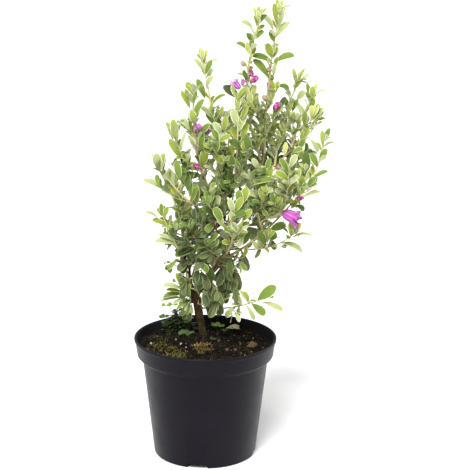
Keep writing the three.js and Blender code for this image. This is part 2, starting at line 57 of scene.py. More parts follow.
# The lamps and the floor are given in metres, watts and degrees
LIT_MIDDLE = (0.03, 0, 0.3)
SUN = {"place": (-0.25, -0.98, 1.6), "angle": 26, "power": 4.2}
SOFTBOXES = {
    # place, width and height, power
    "right_softbox": ((1.5, 0.8, 0.6), (0.7, 1.3), 16),
    "left_softbox": ((-1.6, 0.5, 0.7), (0.5, 1.2), 0.5),
}
DAYLIGHT = 0.55
PAPER = {"size": 40, "colour": (0.93, 0.93, 0.93, 1), "roughness": 0.9}


def add_camera():
    lens = bpy.data.cameras.new("camera")
    lens.lens = CAMERA["lens"]
    lens.clip_end = 60
    camera = bpy.data.objects.new("camera", lens)
    camera.location = np.array(CAMERA["place"]) * MM
    camera.rotation_euler = VIEW
    bpy.context.scene.collection.objects.link(camera)
    bpy.context.scene.camera = camera


def sighted(across, down, depth):
    """The place that shows at a picture position, at a depth along Y."""
    span = CAMERA["film"] / CAMERA["lens"] / CAMERA["picture"]
    middle = CAMERA["picture"] / 2
    way = np.array(VIEW.to_matrix() @ Vector(((across - middle) * span, (middle - down) * span, -1)))
    place = np.array(CAMERA["place"])
    return place + way * (depth - place[1]) / way[1]


def hang_lamp(name, kind, place, power):
    """A lamp at a place, turned towards the middle of the plant."""
    lamp = bpy.data.lights.new(name, kind)
    lamp.energy = power
    holder = bpy.data.objects.new(name, lamp)
    holder.location = place
    way = np.subtract(LIT_MIDDLE, place)
    flat = math.hypot(way[0], way[1])
    holder.rotation_euler = (math.atan2(flat, -way[2]), 0, math.atan2(-way[0], way[1]))
    bpy.context.scene.collection.objects.link(holder)
    return lamp


def add_stage():
    world = bpy.data.worlds.new("studio")
    bpy.context.scene.world = world
    world.use_nodes = True
    sky = world.node_tree.nodes["Background"]
    sky.inputs["Color"].default_value = (1.0, 1.0, 1.0, 1.0)
    sky.inputs["Strength"].default_value = DAYLIGHT
    sun = hang_lamp("key_light", "SUN", SUN["place"], SUN["power"])
    sun.angle = math.radians(SUN["angle"])
    for name, (place, sides, power) in SOFTBOXES.items():
        box = hang_lamp(name, "AREA", place, power)
        box.shape = "RECTANGLE"
        box.size, box.size_y = sides
    bpy.context.scene.view_settings.view_transform = "Standard"
    bpy.ops.mesh.primitive_plane_add(size=PAPER["size"], location=(0, 0, 0))
    floor = bpy.context.active_object
    floor.name = "studio_floor"
    paper = bpy.data.materials.new("studio_paper")
    paper.use_nodes = True
    shader = paper.node_tree.nodes["Principled BSDF"]
    shader.inputs["Base Color"].default_value = PAPER["colour"]
    shader.inputs["Roughness"].default_value = PAPER["roughness"]
    floor.data.materials.append(paper)


# Finishes

def tint(code):
    """A colour from its six-figure code, as the shaders take it."""
    parts = [int(code[i:i + 2], 16) / 255 for i in (0, 2, 4)]
    return tuple(c / 12.92 if c <= 0.04045 else ((c + 0.055) / 1.055) ** 2.4 for c in parts) + (1.0,)


def new_group(name, inputs, outputs):
    """A node group, what it is given, where its results go, and the places on the object."""
    group = bpy.data.node_groups.new(name, "ShaderNodeTree")
    for way, sockets in (("INPUT", inputs), ("OUTPUT", outputs)):
        for label, kind in sockets.items():
            group.interface.new_socket(name=label, in_out=way, socket_type="NodeSocket" + kind)
    given = group.nodes.new("NodeGroupInput").outputs
    results = group.nodes.new("NodeGroupOutput").inputs
    return group, given, results, group.nodes.new("ShaderNodeTexCoord").outputs["Object"]


def add_noise(group, coordinates, scale_socket, detail):
    texture = group.nodes.new("ShaderNodeTexNoise")
    texture.inputs["Detail"].default_value = detail
    group.links.new(coordinates, texture.inputs["Vector"])
    group.links.new(scale_socket, texture.inputs["Scale"])
    return texture.outputs["Fac"]


def spread_values(group, value, low, high):
    """Stretches a noise's middle values to the range from 0 to 1."""
    ramp = group.nodes.new("ShaderNodeMapRange")
    ramp.inputs["From Min"].default_value = low
    ramp.inputs["From Max"].default_value = high
    group.links.new(value, ramp.inputs["Value"])
    return ramp


def combine(group, operation, first, second):
    node = group.nodes.new("ShaderNodeMath")
    node.operation = operation
    group.links.new(first, node.inputs[0])
    group.links.new(second, node.inputs[1])
    return node.outputs[0]


def blend_colours(group, share, first, second):
    node = group.nodes.new("ShaderNodeMix")
    node.data_type = "RGBA"
    group.links.new(share, node.inputs["Factor"])
    group.links.new(first, node.inputs["A"])
    group.links.new(second, node.inputs["B"])
    return node.outputs["Result"]


def make_mottle():
    """Two colours in soft patches, with a third in small flecks."""
    inputs = {"Main": "Color", "Patch": "Color", "Fleck": "Color", "Patch Scale": "Float",
              "Fleck Scale": "Float", "Fleck Share": "Float"}
    group, given, results, place = new_group("mottle", inputs, {"Color": "Color"})
    patch = spread_values(group, add_noise(group, place, given["Patch Scale"], 4), 0.35, 0.65)
    fleck = spread_values(group, add_noise(group, place, given["Fleck Scale"], 2), 0.55, 0.7)
    share = combine(group, "MULTIPLY", fleck.outputs["Result"], given["Fleck Share"])
    patched = blend_colours(group, patch.outputs["Result"], given["Main"], given["Patch"])
    flecked = blend_colours(group, share, patched, given["Fleck"])
    group.links.new(flecked, results["Color"])
    return group


def make_grain():
    """A fine relief, coarse and small together, and the roughness that goes with it."""
    inputs = dict.fromkeys(("Coarse Scale", "Fine Scale", "Smoothest", "Roughest"), "Float")
    outputs = dict.fromkeys(("Height", "Roughness"), "Float")
    group, given, results, place = new_group("grain", inputs, outputs)
    coarse = add_noise(group, place, given["Coarse Scale"], 3)
    fine = add_noise(group, place, given["Fine Scale"], 2)
    level = spread_values(group, coarse, 0.3, 0.7)
    group.links.new(given["Smoothest"], level.inputs["To Min"])
    group.links.new(given["Roughest"], level.inputs["To Max"])
    group.links.new(combine(group, "ADD", coarse, fine), results["Height"])
    group.links.new(level.outputs["Result"], results["Roughness"])
    return group


MOTTLE = make_mottle()
GRAIN = make_grain()


def place_group(tree, group, values):
    """Sets a group in a material, with a value for each of its inputs in their order."""
    node = tree.nodes.new("ShaderNodeGroup")
    node.node_tree = group
    for socket, value in zip(node.inputs, values):
        socket.default_value = value
    return node


def finish(name, colour, grain, bump, mottle=None, **plain):
    """A material: a plain or mottled colour, with roughness and relief from the grain.

    A grain is its coarse and fine scale and its smoothest and roughest value. A mottle is the colours
    of its patches and flecks, their two scales and the flecks' share.
    """
    material = bpy.data.materials.new(name)
    material.use_nodes = True
    tree = material.node_tree
    shader = tree.nodes["Principled BSDF"]
    shader.inputs["Base Color"].default_value = tint(colour)
    for label, value in plain.items():
        shader.inputs[label.replace("_", " ")].default_value = value
    relief = place_group(tree, GRAIN, grain)
    height = tree.nodes.new("ShaderNodeBump")
    height.inputs["Strength"].default_value = bump
    height.inputs["Distance"].default_value = MM
    tree.links.new(relief.outputs["Height"], height.inputs["Height"])
    tree.links.new(height.outputs["Normal"], shader.inputs["Normal"])
    tree.links.new(relief.outputs["Roughness"], shader.inputs["Roughness"])
    if mottle:
        patch, fleck, *scales = mottle
        colours = place_group(tree, MOTTLE, [tint(colour), tint(patch), tint(fleck), *scales])
        tree.links.new(colours.outputs["Color"], shader.inputs["Base Color"])
    return material


def finishes(name, grain, bump, codes, **plain):
    """A finish for each colour of a set, by its tone."""
    return {tone: finish(name.format(tone), code, grain, bump, **plain) for tone, code in codes.items()}


LEAF_GRAIN = (260, 1500, 0.5, 0.72)
CRUMB_GRAIN = (500, 1800, 0.85, 1.0)
MOSS_GRAIN = (500, 1500, 0.8, 0.95)
BARK_GRAIN = (220, 1300, 0.75, 0.95)
TWIG_GRAIN = (300, 1500, 0.7, 0.9)
PETAL_GRAIN = (200, 1200, 0.5, 0.7)
BUD_GRAIN = (200, 1200, 0.45, 0.65)
DULL = {"Specular_IOR_Level": 0.3}
EARTHY = {"Specular_IOR_Level": 0.12}
FELT = {"Specular_IOR_Level": 0.25, "Sheen_Weight": 0.08, "Sheen_Roughness": 0.4}
VELVET = {"Sheen_Weight": 0.2}
PLASTIC = finish("pot_plastic", "0c0911", (60, 1400, 0.34, 0.44), 0.12,
                 ("110d16", "17131d", 25, 600, 0.35), Specular_IOR_Level=0.12)
PLASTIC_INSIDE = finish("pot_inside", "0d0c0f", (60, 1400, 0.5, 0.65), 0.12,
                        ("121115", "1c1917", 30, 300, 0.6), Specular_IOR_Level=0.2)
SOIL = finish("potting_soil", "0a0806", (300, 1500, 0.85, 1.0), 1.0,
              ("17110c", "2e261b", 90, 500, 0.5), **EARTHY)
CRUMB_DARK = finish("dark_crumbs", "0d0a07", CRUMB_GRAIN, 0.8,
                    ("1a130d", "30261c", 200, 900, 0.5), **EARTHY)
CRUMB_BROWN = finish("brown_crumbs", "1f170f", CRUMB_GRAIN, 0.8,
                     ("35281c", "4a3927", 200, 900, 0.5), **EARTHY)
CRUMB_PALE = finish("pale_crumbs", "5f5039", CRUMB_GRAIN, 0.6,
                    ("4a3c2a", "7c6d53", 200, 900, 0.5), **DULL)
PERLITE = finish("pale_grit", "bdb79c", (400, 1600, 0.8, 0.95), 0.7,
                 ("a39c80", "d8d4c0", 300, 900, 0.5))
CLOD = finish("tan_clod", "5c452f", (300, 1200, 0.85, 1.0), 0.9,
              ("7a5f42", "38291b", 160, 700, 0.6), **DULL)
MOSSES = finishes("{}_moss", MOSS_GRAIN, 0.4, {
    "olive": "38430f", "yellow": "655f22", "golden": "735c28", "dark": "1c240c",
})
# Weed greens. The bright one is partly the weeds' own yellow-green, partly painted light; the dark one is
# partly painted shade under the crown.
WEED_GREENS = finishes("{}_weed", LEAF_GRAIN, 0.2, {
    "bright": "73942a", "dark": "232b12", "green": "3f5822",
})
# The fallen leaf's pale dead colour, lightened further as painted light, since it lies in the crown's
# shade.
FALLEN_LEAF_PAINTED_LIGHT = finish("fallen_leaf_painted_light", "d4d2ac", LEAF_GRAIN, 0.3, ("bdb98e", "e2e0c4", 120, 600, 0.4))
BARK = finish("brown_bark", "3d2c12", BARK_GRAIN, 0.9,
              ("5a4429", "20170d", 90, 520, 0.65), **DULL)
BARK_WARM = finish("warm_bark", "84683f", BARK_GRAIN, 0.9,
                   ("a1815a", "3d2c1b", 90, 520, 0.6), **DULL)
# Near-black bark for the trunk's foot: moss, with painted shade under the crown.
BARK_MOSSY_AND_SHADED = finish("mossy_shaded_bark", "251d09", (220, 1300, 0.8, 0.95), 0.9,
                    ("413a14", "150f05", 120, 520, 0.6), **DULL)
BARK_YOUNG = finish("young_bark", "97805a", BARK_GRAIN, 0.6,
                    ("ab9669", "75583e", 110, 520, 0.5), **DULL)
TWIG_BROWN = finish("brown_twig", "775a42", TWIG_GRAIN, 0.4,
                    ("8d6e52", "4e3a2b", 140, 700, 0.5), **DULL)
TWIG_TAN = finish("tan_twig", "ac9d70", TWIG_GRAIN, 0.3,
                  ("bcae84", "8a7a52", 140, 700, 0.4), **DULL)
TWIG_GREEN = finish("pale_shoot", "c0b87e", (300, 1500, 0.65, 0.85), 0.2,
                    ("cdc692", "a59a66", 140, 700, 0.3), **DULL)
# Leaf tops. The two darkest, shade and the greyed olive after it, are painted shade for the leaves that
# the crown shades.
LEAF_TOPS = finishes("leaf_{}", LEAF_GRAIN, 0.15, {
    "shade": "434f2c", "painted_shade_olive": "5b633c", "deep": "576c2b", "green": "6e8434",
    "olive": "8a9639", "grey": "a4af78", "fresh": "96a34e", "young": "b1b868",
}, **FELT)
LEAF_UNDERS = finishes("leaf_under_{}", LEAF_GRAIN, 0.2, {
    "dark": "74824e", "grey": "adb786", "pale": "c3cb9b",
}, **FELT)
# Paler leaf margins: partly the leaves' own hairy margin, partly painted highlight, brightest in the pale
# rim.
LEAF_RIMS_AND_HIGHLIGHTS = finishes("leaf_rim_{}", LEAF_GRAIN, 0.1, {
    "dark": "8a9862", "dull": "cbd3a4", "pale": "ebe9ca",
}, **FELT)
PETAL = finish("petal", "a63a9e", PETAL_GRAIN, 0.2, **VELVET)
PETAL_STREAK = finish("petal_streak", "bc64ae", PETAL_GRAIN, 0.2, **VELVET)
PETAL_PALE = finish("petal_pale", "cd84d2", PETAL_GRAIN, 0.2, **VELVET)
PETAL_THROAT = finish("petal_throat", "d79cd6", PETAL_GRAIN, 0.2)
BUD_SKIN = finish("bud", "8c2460", BUD_GRAIN, 0.2)
# Paler pink on the crests of the bud's folds: partly the petals' colour, partly painted highlight.
BUD_FOLD_HIGHLIGHT = finish("bud_fold_highlight", "c45aa4", BUD_GRAIN, 0.2)
CALYX = finish("calyx", "9aa566", LEAF_GRAIN, 0.2)
CALYX_SPENT = finish("spent_calyx", "b5857c", LEAF_GRAIN, 0.3)


# Modelling helpers

def deselect_all():
    for piece in bpy.context.selected_objects:
        piece.select_set(False)


def select_only(piece):
    deselect_all()
    piece.select_set(True)
    bpy.context.view_layer.objects.active = piece


def apply_modifier(piece, kind, **settings):
    select_only(piece)
    modifier = piece.modifiers.new(kind.lower(), kind)
    for label, value in settings.items():
        setattr(modifier, label, value)
    bpy.ops.object.modifier_apply(modifier=modifier.name)


def smooth(piece, angle):
    select_only(piece)
    bpy.ops.object.shade_smooth_by_angle(angle=math.radians(angle))


def paint(piece, *materials):
    for material in materials:
        piece.data.materials.append(material)


def points_of(piece):
    flat = np.empty(len(piece.data.vertices) * 3)
    piece.data.vertices.foreach_get("co", flat)
    return flat.reshape(-1, 3) / MM


def set_points(piece, points):
    piece.data.vertices.foreach_set("co", (np.asarray(points) * MM).ravel())
    piece.data.update()


def new_piece(name, points, faces, materials, slots):
    """A mesh made straight from arrays of points, faces and their materials' slots."""
    mesh = bpy.data.meshes.new(name)
    mesh.from_pydata((np.asarray(points) * MM).tolist(), [], faces)
    piece = bpy.data.objects.new(name, mesh)
    paint(piece, *materials)
    mesh.polygons.foreach_set("material_index", np.asarray(slots, dtype=np.int32))
    bpy.context.scene.collection.objects.link(piece)
    return piece


def draw_rings(profile, sides, fill):
    """Draws a circle up, ring by ring, through (radius, height) steps, and stays in edit mode."""
    deselect_all()
    radius, height = profile[0]
    bpy.ops.mesh.primitive_circle_add(vertices=sides, radius=radius * MM, fill_type=fill,
                                      location=(0, 0, 0), enter_editmode=True)
    bpy.ops.transform.translate(value=(0, 0, height * MM))
    for step in profile[1:]:
        size = step[0] / radius
        rise = (step[1] - height) * MM
        bpy.ops.mesh.extrude_region_move(TRANSFORM_OT_translate={"value": (0, 0, rise)})
        bpy.ops.transform.resize(value=(size, size, 1), center_override=(0, 0, 0))
        radius, height = step


def ring_body(name, profile, sides):
    """A closed body drawn up from a disc."""
    draw_rings(profile, sides, "NGON")
    bpy.ops.mesh.select_all(action="SELECT")
    bpy.ops.mesh.normals_make_consistent(inside=False)
    bpy.ops.object.mode_set(mode="OBJECT")
    piece = bpy.context.active_object
    piece.name = piece.data.name = name
    return piece


def lerp(a, b, share):
    return a + (b - a) * share


def unit(vector):
    return vector / np.linalg.norm(vector)


def pulled(start, bend, end, t):
    """A point, or points for a column of t, on the curve from start to end that a bend pulls."""
    return (1 - t) ** 2 * start + 2 * t * (1 - t) * bend + t ** 2 * end


def rounded(corners, steps=3):
    """Points along a line of (radius, height, fillet) corners, with each corner rounded."""
    line = []
    for i, (radius, height, fillet) in enumerate(corners):
        corner = np.array([radius, height])
        if fillet == 0 or i in (0, len(corners) - 1):
            line.append(tuple(corner))
            continue
        before = np.array(corners[i - 1][:2]) - corner
        after = np.array(corners[i + 1][:2]) - corner
        start = corner + before / np.linalg.norm(before) * fillet
        end = corner + after / np.linalg.norm(after) * fillet
        line += [tuple(pulled(start, corner, end, t)) for t in np.linspace(0, 1, steps + 1)]
    return line


# The pot and its soil

POT = {"height": 144, "rim": 85, "wall": 2.2, "foot": 60.9, "draft": 0.117, "collar_foot": 119.2,
       "collar_ledge": 122.8, "collar": 83.6, "ledge": 6.2, "lip_foot": 139.8, "floor": 6, "sides": 128,
       "base_disc": 40, "floor_disc": 30}
LIP = {"draft": 0.4, "rise": 0.5, "inside": 0.6}
CHANNEL = {"count": 4, "width": 24, "depth": 5.5, "inner_end": 26, "turn": -8.4, "edge": 1.5}
HOLE = {"radius": 4, "at": 44, "sides": 24, "drill": 30}


def body_radius(height):
    return POT["foot"] + POT["draft"] * height


def collar_radius(height):
    share = (height - POT["collar_ledge"]) / (POT["lip_foot"] - POT["collar_ledge"])
    return lerp(body_radius(POT["collar_foot"]) + POT["ledge"], POT["collar"], share)


def cut(piece, cutter):
    apply_modifier(piece, "BOOLEAN", operation="DIFFERENCE", solver="EXACT", object=cutter)
    bpy.data.objects.remove(cutter)


def pot_profile():
    """The pot's section from its underside, up the outside, over the lip and down the inside."""
    wall, height, collar_foot, ledge = (POT[k] for k in ("wall", "height", "collar_foot", "collar_ledge"))
    return [
        # radius, height, fillet
        (POT["base_disc"], 0, 0),
        (POT["foot"], 0, 2.2),
        (body_radius(collar_foot), collar_foot, 2.2),
        (collar_radius(ledge), ledge, 1.2),
        (POT["collar"], POT["lip_foot"], 0.8),
        (POT["rim"] - LIP["draft"], POT["lip_foot"] + LIP["rise"], 0.8),
        (POT["rim"], height, 1.2),
        (POT["collar"] - wall + LIP["inside"], height, 0.9),
        (POT["collar"] - wall, POT["lip_foot"], 1.0),
        (collar_radius(ledge) - wall, ledge, 1.2),
        (body_radius(collar_foot) - wall, collar_foot, 1.2),
        (body_radius(POT["floor"]) - wall, POT["floor"], 2),
        (POT["floor_disc"], POT["floor"], 0),
    ]


def make_pot():
    pot = ring_body("nursery_pot", rounded(pot_profile()), POT["sides"])
    length = (POT["rim"] - CHANNEL["inner_end"]) * MM
    for k in range(CHANNEL["count"]):
        angle = math.radians(CHANNEL["turn"] - 90 + 360 / CHANNEL["count"] * k)
        way = np.array([math.cos(angle), math.sin(angle), 0])
        middle = way * (CHANNEL["inner_end"] * MM + length / 2)
        deselect_all()
        size = (length, CHANNEL["width"] * MM, 2 * CHANNEL["depth"] * MM)
        bpy.ops.mesh.primitive_cube_add(size=1, location=middle, rotation=(0, 0, angle), scale=size)
        channel = bpy.context.active_object
        apply_modifier(channel, "BEVEL", width=CHANNEL["edge"] * MM, segments=2)
        cut(pot, channel)
        deselect_all()
        bpy.ops.mesh.primitive_cylinder_add(vertices=HOLE["sides"], radius=HOLE["radius"] * MM,
                                            depth=HOLE["drill"] * MM, location=way * HOLE["at"] * MM)
        cut(pot, bpy.context.active_object)
    smooth(pot, 35)
    paint(pot, PLASTIC, PLASTIC_INSIDE)
    for face in pot.data.polygons:
        radius = math.hypot(face.center.x, face.center.y) / MM
        within = face.center.x * face.normal.x + face.center.y * face.normal.y < 0
        if within and face.center.z > (POT["floor"] - 1) * MM and radius > POT["floor_disc"]:
            face.material_index = 1
    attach(pot, "root")
    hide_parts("pot")


SOIL_SHAPE = {"level": 131, "mound": 9, "mound_radius": 30, "flat_radius": 11, "wave": 1.3,
              "wave_length_x": 69, "wave_length_y": 82, "bank": 2.5, "bank_at": 78, "rings": 58,
              "sides": 224, "slack": 0.2, "into_wall": 0.3, "over_ledge": 0.5}
# The lumps on the soil, largest first: height, size and seed. They flatten near the pot's wall
LUMPS = [(3.2, 16, 3.1), (1.6, 5, 8.7), (0.7, 2, 5.3)]
LUMPS_END = {"over": 5, "least": 0.25, "radius": 77}
TRUNK = {"foot": (-2, 14), "tip": (-10.5, 10, 190), "bow": (-1, 0, 0), "radii": (4.4, 4.0),
         "flare": 0.9, "flare_height": 6, "lobes": 3, "lobe_depth": 0.35, "bark_radii": (3.9, 5.2)}


def soil_height(x, y):
    """The mound with a flat top where the trunk stands, and soft waves round it."""
    shape = SOIL_SHAPE
    away = np.hypot(x - TRUNK["foot"][0], y - TRUNK["foot"][1])
    rise = np.exp(-(np.maximum(0, away - shape["flat_radius"]) / shape["mound_radius"]) ** 2)
    across = np.sin(2 * math.pi * x / shape["wave_length_x"])
    back = np.cos(2 * math.pi * y / shape["wave_length_y"])
    bank = shape["bank"] * (np.hypot(x, y) / shape["bank_at"]) ** 6
    return shape["level"] + shape["mound"] * rise + shape["wave"] * across * back * (1 - rise) + bank


def lumps(x, y, rows, rim):
    """How high the lumps of some sizes stand at a point."""
    inside = min(1, (rim - math.hypot(x, y)) / LUMPS_END["over"])
    total = sum(height * noise.fractal((x / size + seed, y / size, seed * 1.7), 0.9, 2.1, 4)
                for height, size, seed in rows)
    return total * (LUMPS_END["least"] + (1 - LUMPS_END["least"]) * inside)


def make_soil():
    shape = SOIL_SHAPE
    inset = POT["wall"]
    rim = collar_radius(shape["level"]) - inset + shape["into_wall"]
    ledge = collar_radius(POT["collar_ledge"]) - inset - shape["slack"]
    side = [
        (body_radius(POT["floor"]) - inset - shape["slack"], POT["floor"] + shape["slack"]),
        (body_radius(POT["collar_foot"]) - inset - shape["slack"], POT["collar_foot"]),
        (ledge, POT["collar_ledge"] + shape["over_ledge"]),
        (rim, shape["level"]),
    ]
    top = [(rim * (1 - (k + 1) / (shape["rings"] + 1)), shape["level"]) for k in range(shape["rings"])]
    soil = ring_body("potting_soil", side + top, shape["sides"])
    points = points_of(soil)
    for i in np.flatnonzero(points[:, 2] > shape["level"] - 0.01):
        x, y, _ = points[i]
        points[i, 2] = soil_height(x, y) + lumps(x, y, LUMPS, rim)
    set_points(soil, points)
    smooth(soil, 60)
    paint(soil, SOIL)
    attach(soil, "root")
    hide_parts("soil")


def ground(x, y):
    """The height of the lumpy soil at a point."""
    return float(soil_height(x, y)) + lumps(x, y, LUMPS[:2], LUMPS_END["radius"])


def turns(count, chance):
    """Random rotation matrices."""
    axes = np.array([[chance.gauss(0, 1) for _ in range(4)] for _ in range(count)])
    w, x, y, z = (axes / np.linalg.norm(axes, axis=1)[:, None]).T
    return np.stack([
        1 - 2 * (y * y + z * z), 2 * (x * y - z * w), 2 * (x * z + y * w),
        2 * (x * y + z * w), 1 - 2 * (x * x + z * z), 2 * (y * z - x * w),
        2 * (x * z - y * w), 2 * (y * z + x * w), 1 - 2 * (x * x + y * y),
    ], 1).reshape(-1, 3, 3)


def lump_shape(detail):
    """The points and faces of a small faceted ball."""
    deselect_all()
    bpy.ops.mesh.primitive_ico_sphere_add(subdivisions=detail, radius=MM)
    ball = bpy.context.active_object
    points = points_of(ball)
    faces = np.array([face.vertices[:] for face in ball.data.polygons])
    bpy.data.objects.remove(ball)
    return points, faces


def scatter_lumps(name, rows, detail, materials, slots, chance, uneven=0.35):
    """Uneven grains joined in one mesh. Each row is x, y, z and size."""
    points, faces = lump_shape(detail)
    rows = np.array(rows)
    count = len(rows)
    stretch = np.array([[1 + uneven * (chance.random() - 0.5) * 2 for _ in range(3)]
                        for _ in range(count)])
    rough = np.array([[1 + uneven * (chance.random() - 0.5) for _ in points] for _ in range(count)])
    shaped = points[None] * stretch[:, None] * rough[:, :, None] * rows[:, 3, None, None]
    shaped = np.einsum("nij,nvj->nvi", turns(count, chance), shaped) + rows[:, None, :3]
    all_faces = (faces[None] + np.arange(count)[:, None, None] * len(points)).reshape(-1, 3)
    face_slots = np.repeat(slots, len(faces))
    return new_piece(name, shaped.reshape(-1, 3), all_faces.tolist(), materials, face_slots)


CRUMBS = {"count": 3000, "size": 0.5, "larger": 1.9, "rise": 0.25, "dark": 60, "brown": 22,
          "brown_right": 34, "right": 5, "pale": 5, "reach": 75, "off_trunk": 8}
# Grains and the clod that show plainly: x, y and size
GRIT = [(-65, 3, 1.2), (-35.3, 14.2, 1.1), (-29, -7.5, 1.3), (-22.9, -14.6, 0.9), (-50, -20, 0.9)]
GRIT_RISE = 0.8
LOOSE_GRIT = {"count": 26, "sizes": (0.45, 1.0), "rise": 0.5}
CLOD_LUMPS = [(56.5, 0, 4.2), (60, 2.5, 2.6), (53.5, -2, 2.3)]


def soil_spot(chance):
    """A random place on the soil, clear of the trunk."""
    reach = CRUMBS["reach"]
    while True:
        x, y = chance.uniform(-reach, reach), chance.uniform(-reach, reach)
        off_trunk = math.hypot(x - TRUNK["foot"][0], y - TRUNK["foot"][1]) > CRUMBS["off_trunk"]
        if math.hypot(x, y) < reach and off_trunk:
            return x, y


def make_crumbs():
    chance = random.Random(SEEDS["crumbs"])
    rows, slots = [], []
    for _ in range(CRUMBS["count"]):
        x, y = soil_spot(chance)
        size = CRUMBS["size"] + CRUMBS["larger"] * chance.random() ** 3
        rows.append((x, y, ground(x, y) + CRUMBS["rise"] * size, size))
        brown = CRUMBS["brown_right" if x > CRUMBS["right"] else "brown"]
        slots += chance.choices([0, 1, 2], weights=[CRUMBS["dark"], brown, CRUMBS["pale"]])
    crumbs = scatter_lumps("soil_crumbs", rows, 1, [CRUMB_DARK, CRUMB_BROWN, CRUMB_PALE], slots, chance)
    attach(crumbs, "root")
    rows = [(x, y, ground(x, y) + GRIT_RISE, size) for x, y, size in GRIT]
    for _ in range(LOOSE_GRIT["count"]):
        x, y = soil_spot(chance)
        size = chance.uniform(*LOOSE_GRIT["sizes"])
        rows.append((x, y, ground(x, y) + LOOSE_GRIT["rise"], size))
    perlite = scatter_lumps("perlite_grit", rows, 2, [PERLITE], [0] * len(rows), chance)
    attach(perlite, "root")
    rows = [(x, y, ground(x, y) + 0.3 * size, size) for x, y, size in CLOD_LUMPS]
    clod = scatter_lumps("tan_clod", rows, 3, [CLOD], [0] * len(rows), chance, 0.22)
    smooth(clod, 60)
    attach(clod, "root")


# Blades: leaves, strands of moss and weeds, bent from three outlines

OUTLINES = {
    "leaf": [(0.12, 0.11), (0.33, 0.33), (0.56, 0.48), (0.78, 0.47), (0.94, 0.26)],
    "oval": [(0.12, 0.16), (0.4, 0.45), (0.7, 0.5), (0.9, 0.3)],
    "strap": [(0.3, 0.5), (0.75, 0.36)],
}
# The cross-section from edge to edge: shares of the half width, levels, and the kinds between them
TOP, RIM, UNDER = range(3)
RIMMED = ([-1, -0.85, 0, 0.85, 1], [0, 0.5, 1, 0.5, 0], [RIM, TOP, TOP, RIM])
PLAIN = ([-1, 0, 1], [0, 1, 0], [TOP, TOP])
# How far a blade rises over its rims and goes under them, as shares of its length
RAISED, THICK = 0.006, 0.018
LEAST_CURL = 0.02


def blade_shape(outline):
    """A thin closed blade: its points as (across, along, level), and its faces with their kinds."""
    shares, levels, kinds_across = RIMMED if outline == "leaf" else PLAIN
    points, rows = [(0, 0, 0)], []
    for along, half in OUTLINES[outline]:
        rows.append(range(len(points), len(points) + len(shares) + 1))
        points += [(half * share, along, level) for share, level in zip(shares, levels)]
        points.append((0, along, -1))
    tip = len(points)
    points.append((0, 1, 0))
    closed = kinds_across + [UNDER, UNDER]
    faces, kinds = [], []
    for k, kind in enumerate(closed):
        after = (k + 1) % len(closed)
        faces.append((0, rows[0][after], rows[0][k]))
        kinds.append(kind)
        for near, far in zip(rows, rows[1:]):
            faces.append((near[k], near[after], far[after], far[k]))
            kinds.append(kind)
        faces.append((rows[-1][k], rows[-1][after], tip))
        kinds.append(kind)
    return np.array(points, dtype=float), faces, kinds


def bend_blades(blades, outline):
    """The points of every blade: rows of root, way, face, size, width, fold, curl and twist."""
    shape, faces, kinds = blade_shape(outline)
    across, along, level = shape.T
    root, way, face = (np.array([b[k] for b in blades]) for k in ("root", "way", "face"))
    size, width, fold, curl, twist = (np.array([b[k] for b in blades])[:, None]
                                      for k in ("size", "width", "fold", "curl", "twist"))
    curl = np.where(np.abs(curl) < LEAST_CURL, LEAST_CURL, curl)
    bend = curl * along
    forward = np.sin(bend) / curl * size
    drop = (1 - np.cos(bend)) / curl * size
    side = np.cross(way, face)
    half = across * width
    turn = twist * along
    lift = np.abs(across) * width * np.sin(fold) + level * np.where(level > 0, RAISED, THICK) * size
    out = half * np.cos(fold)
    local_side = out * np.cos(turn) - lift * np.sin(turn)
    local_up = out * np.sin(turn) + lift * np.cos(turn)
    points = (root[:, None]
              + way[:, None] * (forward + local_up * np.sin(bend))[..., None]
              + face[:, None] * (local_up * np.cos(bend) - drop)[..., None]
              + side[:, None] * local_side[..., None])
    return points, faces, kinds


def blades_piece(name, blades, outline, materials, slot_of):
    """All the blades as one mesh. slot_of gives a blade's material for each kind of face."""
    points, faces, kinds = bend_blades(blades, outline)
    each = points.shape[1]
    all_faces = [tuple(c + each * i for c in face) for i in range(len(blades)) for face in faces]
    slots = [slot_of(blade, kind) for blade in blades for kind in kinds]
    piece = new_piece(name, points.reshape(-1, 3), all_faces, materials, slots)
    smooth(piece, 50)
    return piece


def blade(root, way, size, width, face=UP, fold=0.2, curl=0.3, twist=0.0, **extra):
    """One blade. Its face is set square to its way. A face along the way gives place to another."""
    way = unit(np.array(way, dtype=float))
    face = np.array(face, dtype=float)
    if abs(face @ way) > 0.97 * np.linalg.norm(face):
        face = np.array([1.0, 0.2, 0.3])
    face = unit(face - way * (face @ way))
    return {"root": np.array(root, dtype=float), "way": way, "face": face, "size": size,
            "width": width, "fold": fold, "curl": curl, "twist": twist, **extra}


# Moss and weeds on the soil

MOSS_PATCHES = [
    # x, y, radius, tufts, height, moss
    (-56, -8, 15, 420, 3.6, 1), (-42, -24, 15, 460, 4.2, 1),
    (-50, 14, 14, 300, 2.4, 0), (-30, -38, 14, 400, 4.2, 1),
    (-66, 16, 9, 150, 2.2, 0), (-10, -52, 13, 240, 2.2, 0),
    (16, -46, 14, 240, 2.2, 0), (22, 6, 12, 220, 2.4, 3),
    (4, 34, 14, 260, 2.6, 3), (20, 36, 12, 200, 2.4, 3),
    (-34, 44, 14, 220, 2.4, 3), (-22, 22, 12, 200, 2.2, 0),
    (-46, 40, 12, 200, 2.4, 0), (44, -30, 11, 130, 2.0, 0),
    (34, 26, 10, 110, 2.0, 0), (10, -22, 14, 200, 2.4, 0),
    (-62, 34, 12, 200, 2.8, 3), (-14, 6, 13, 200, 2.4, 3),
    (40, 4, 13, 160, 2.0, 3), (50, 34, 12, 150, 2.2, 3),
]
GOLD_TUFTS = [(-9, -20, 9), (-3, -26, 9), (3, -19, 8), (-4, -31, 6)]
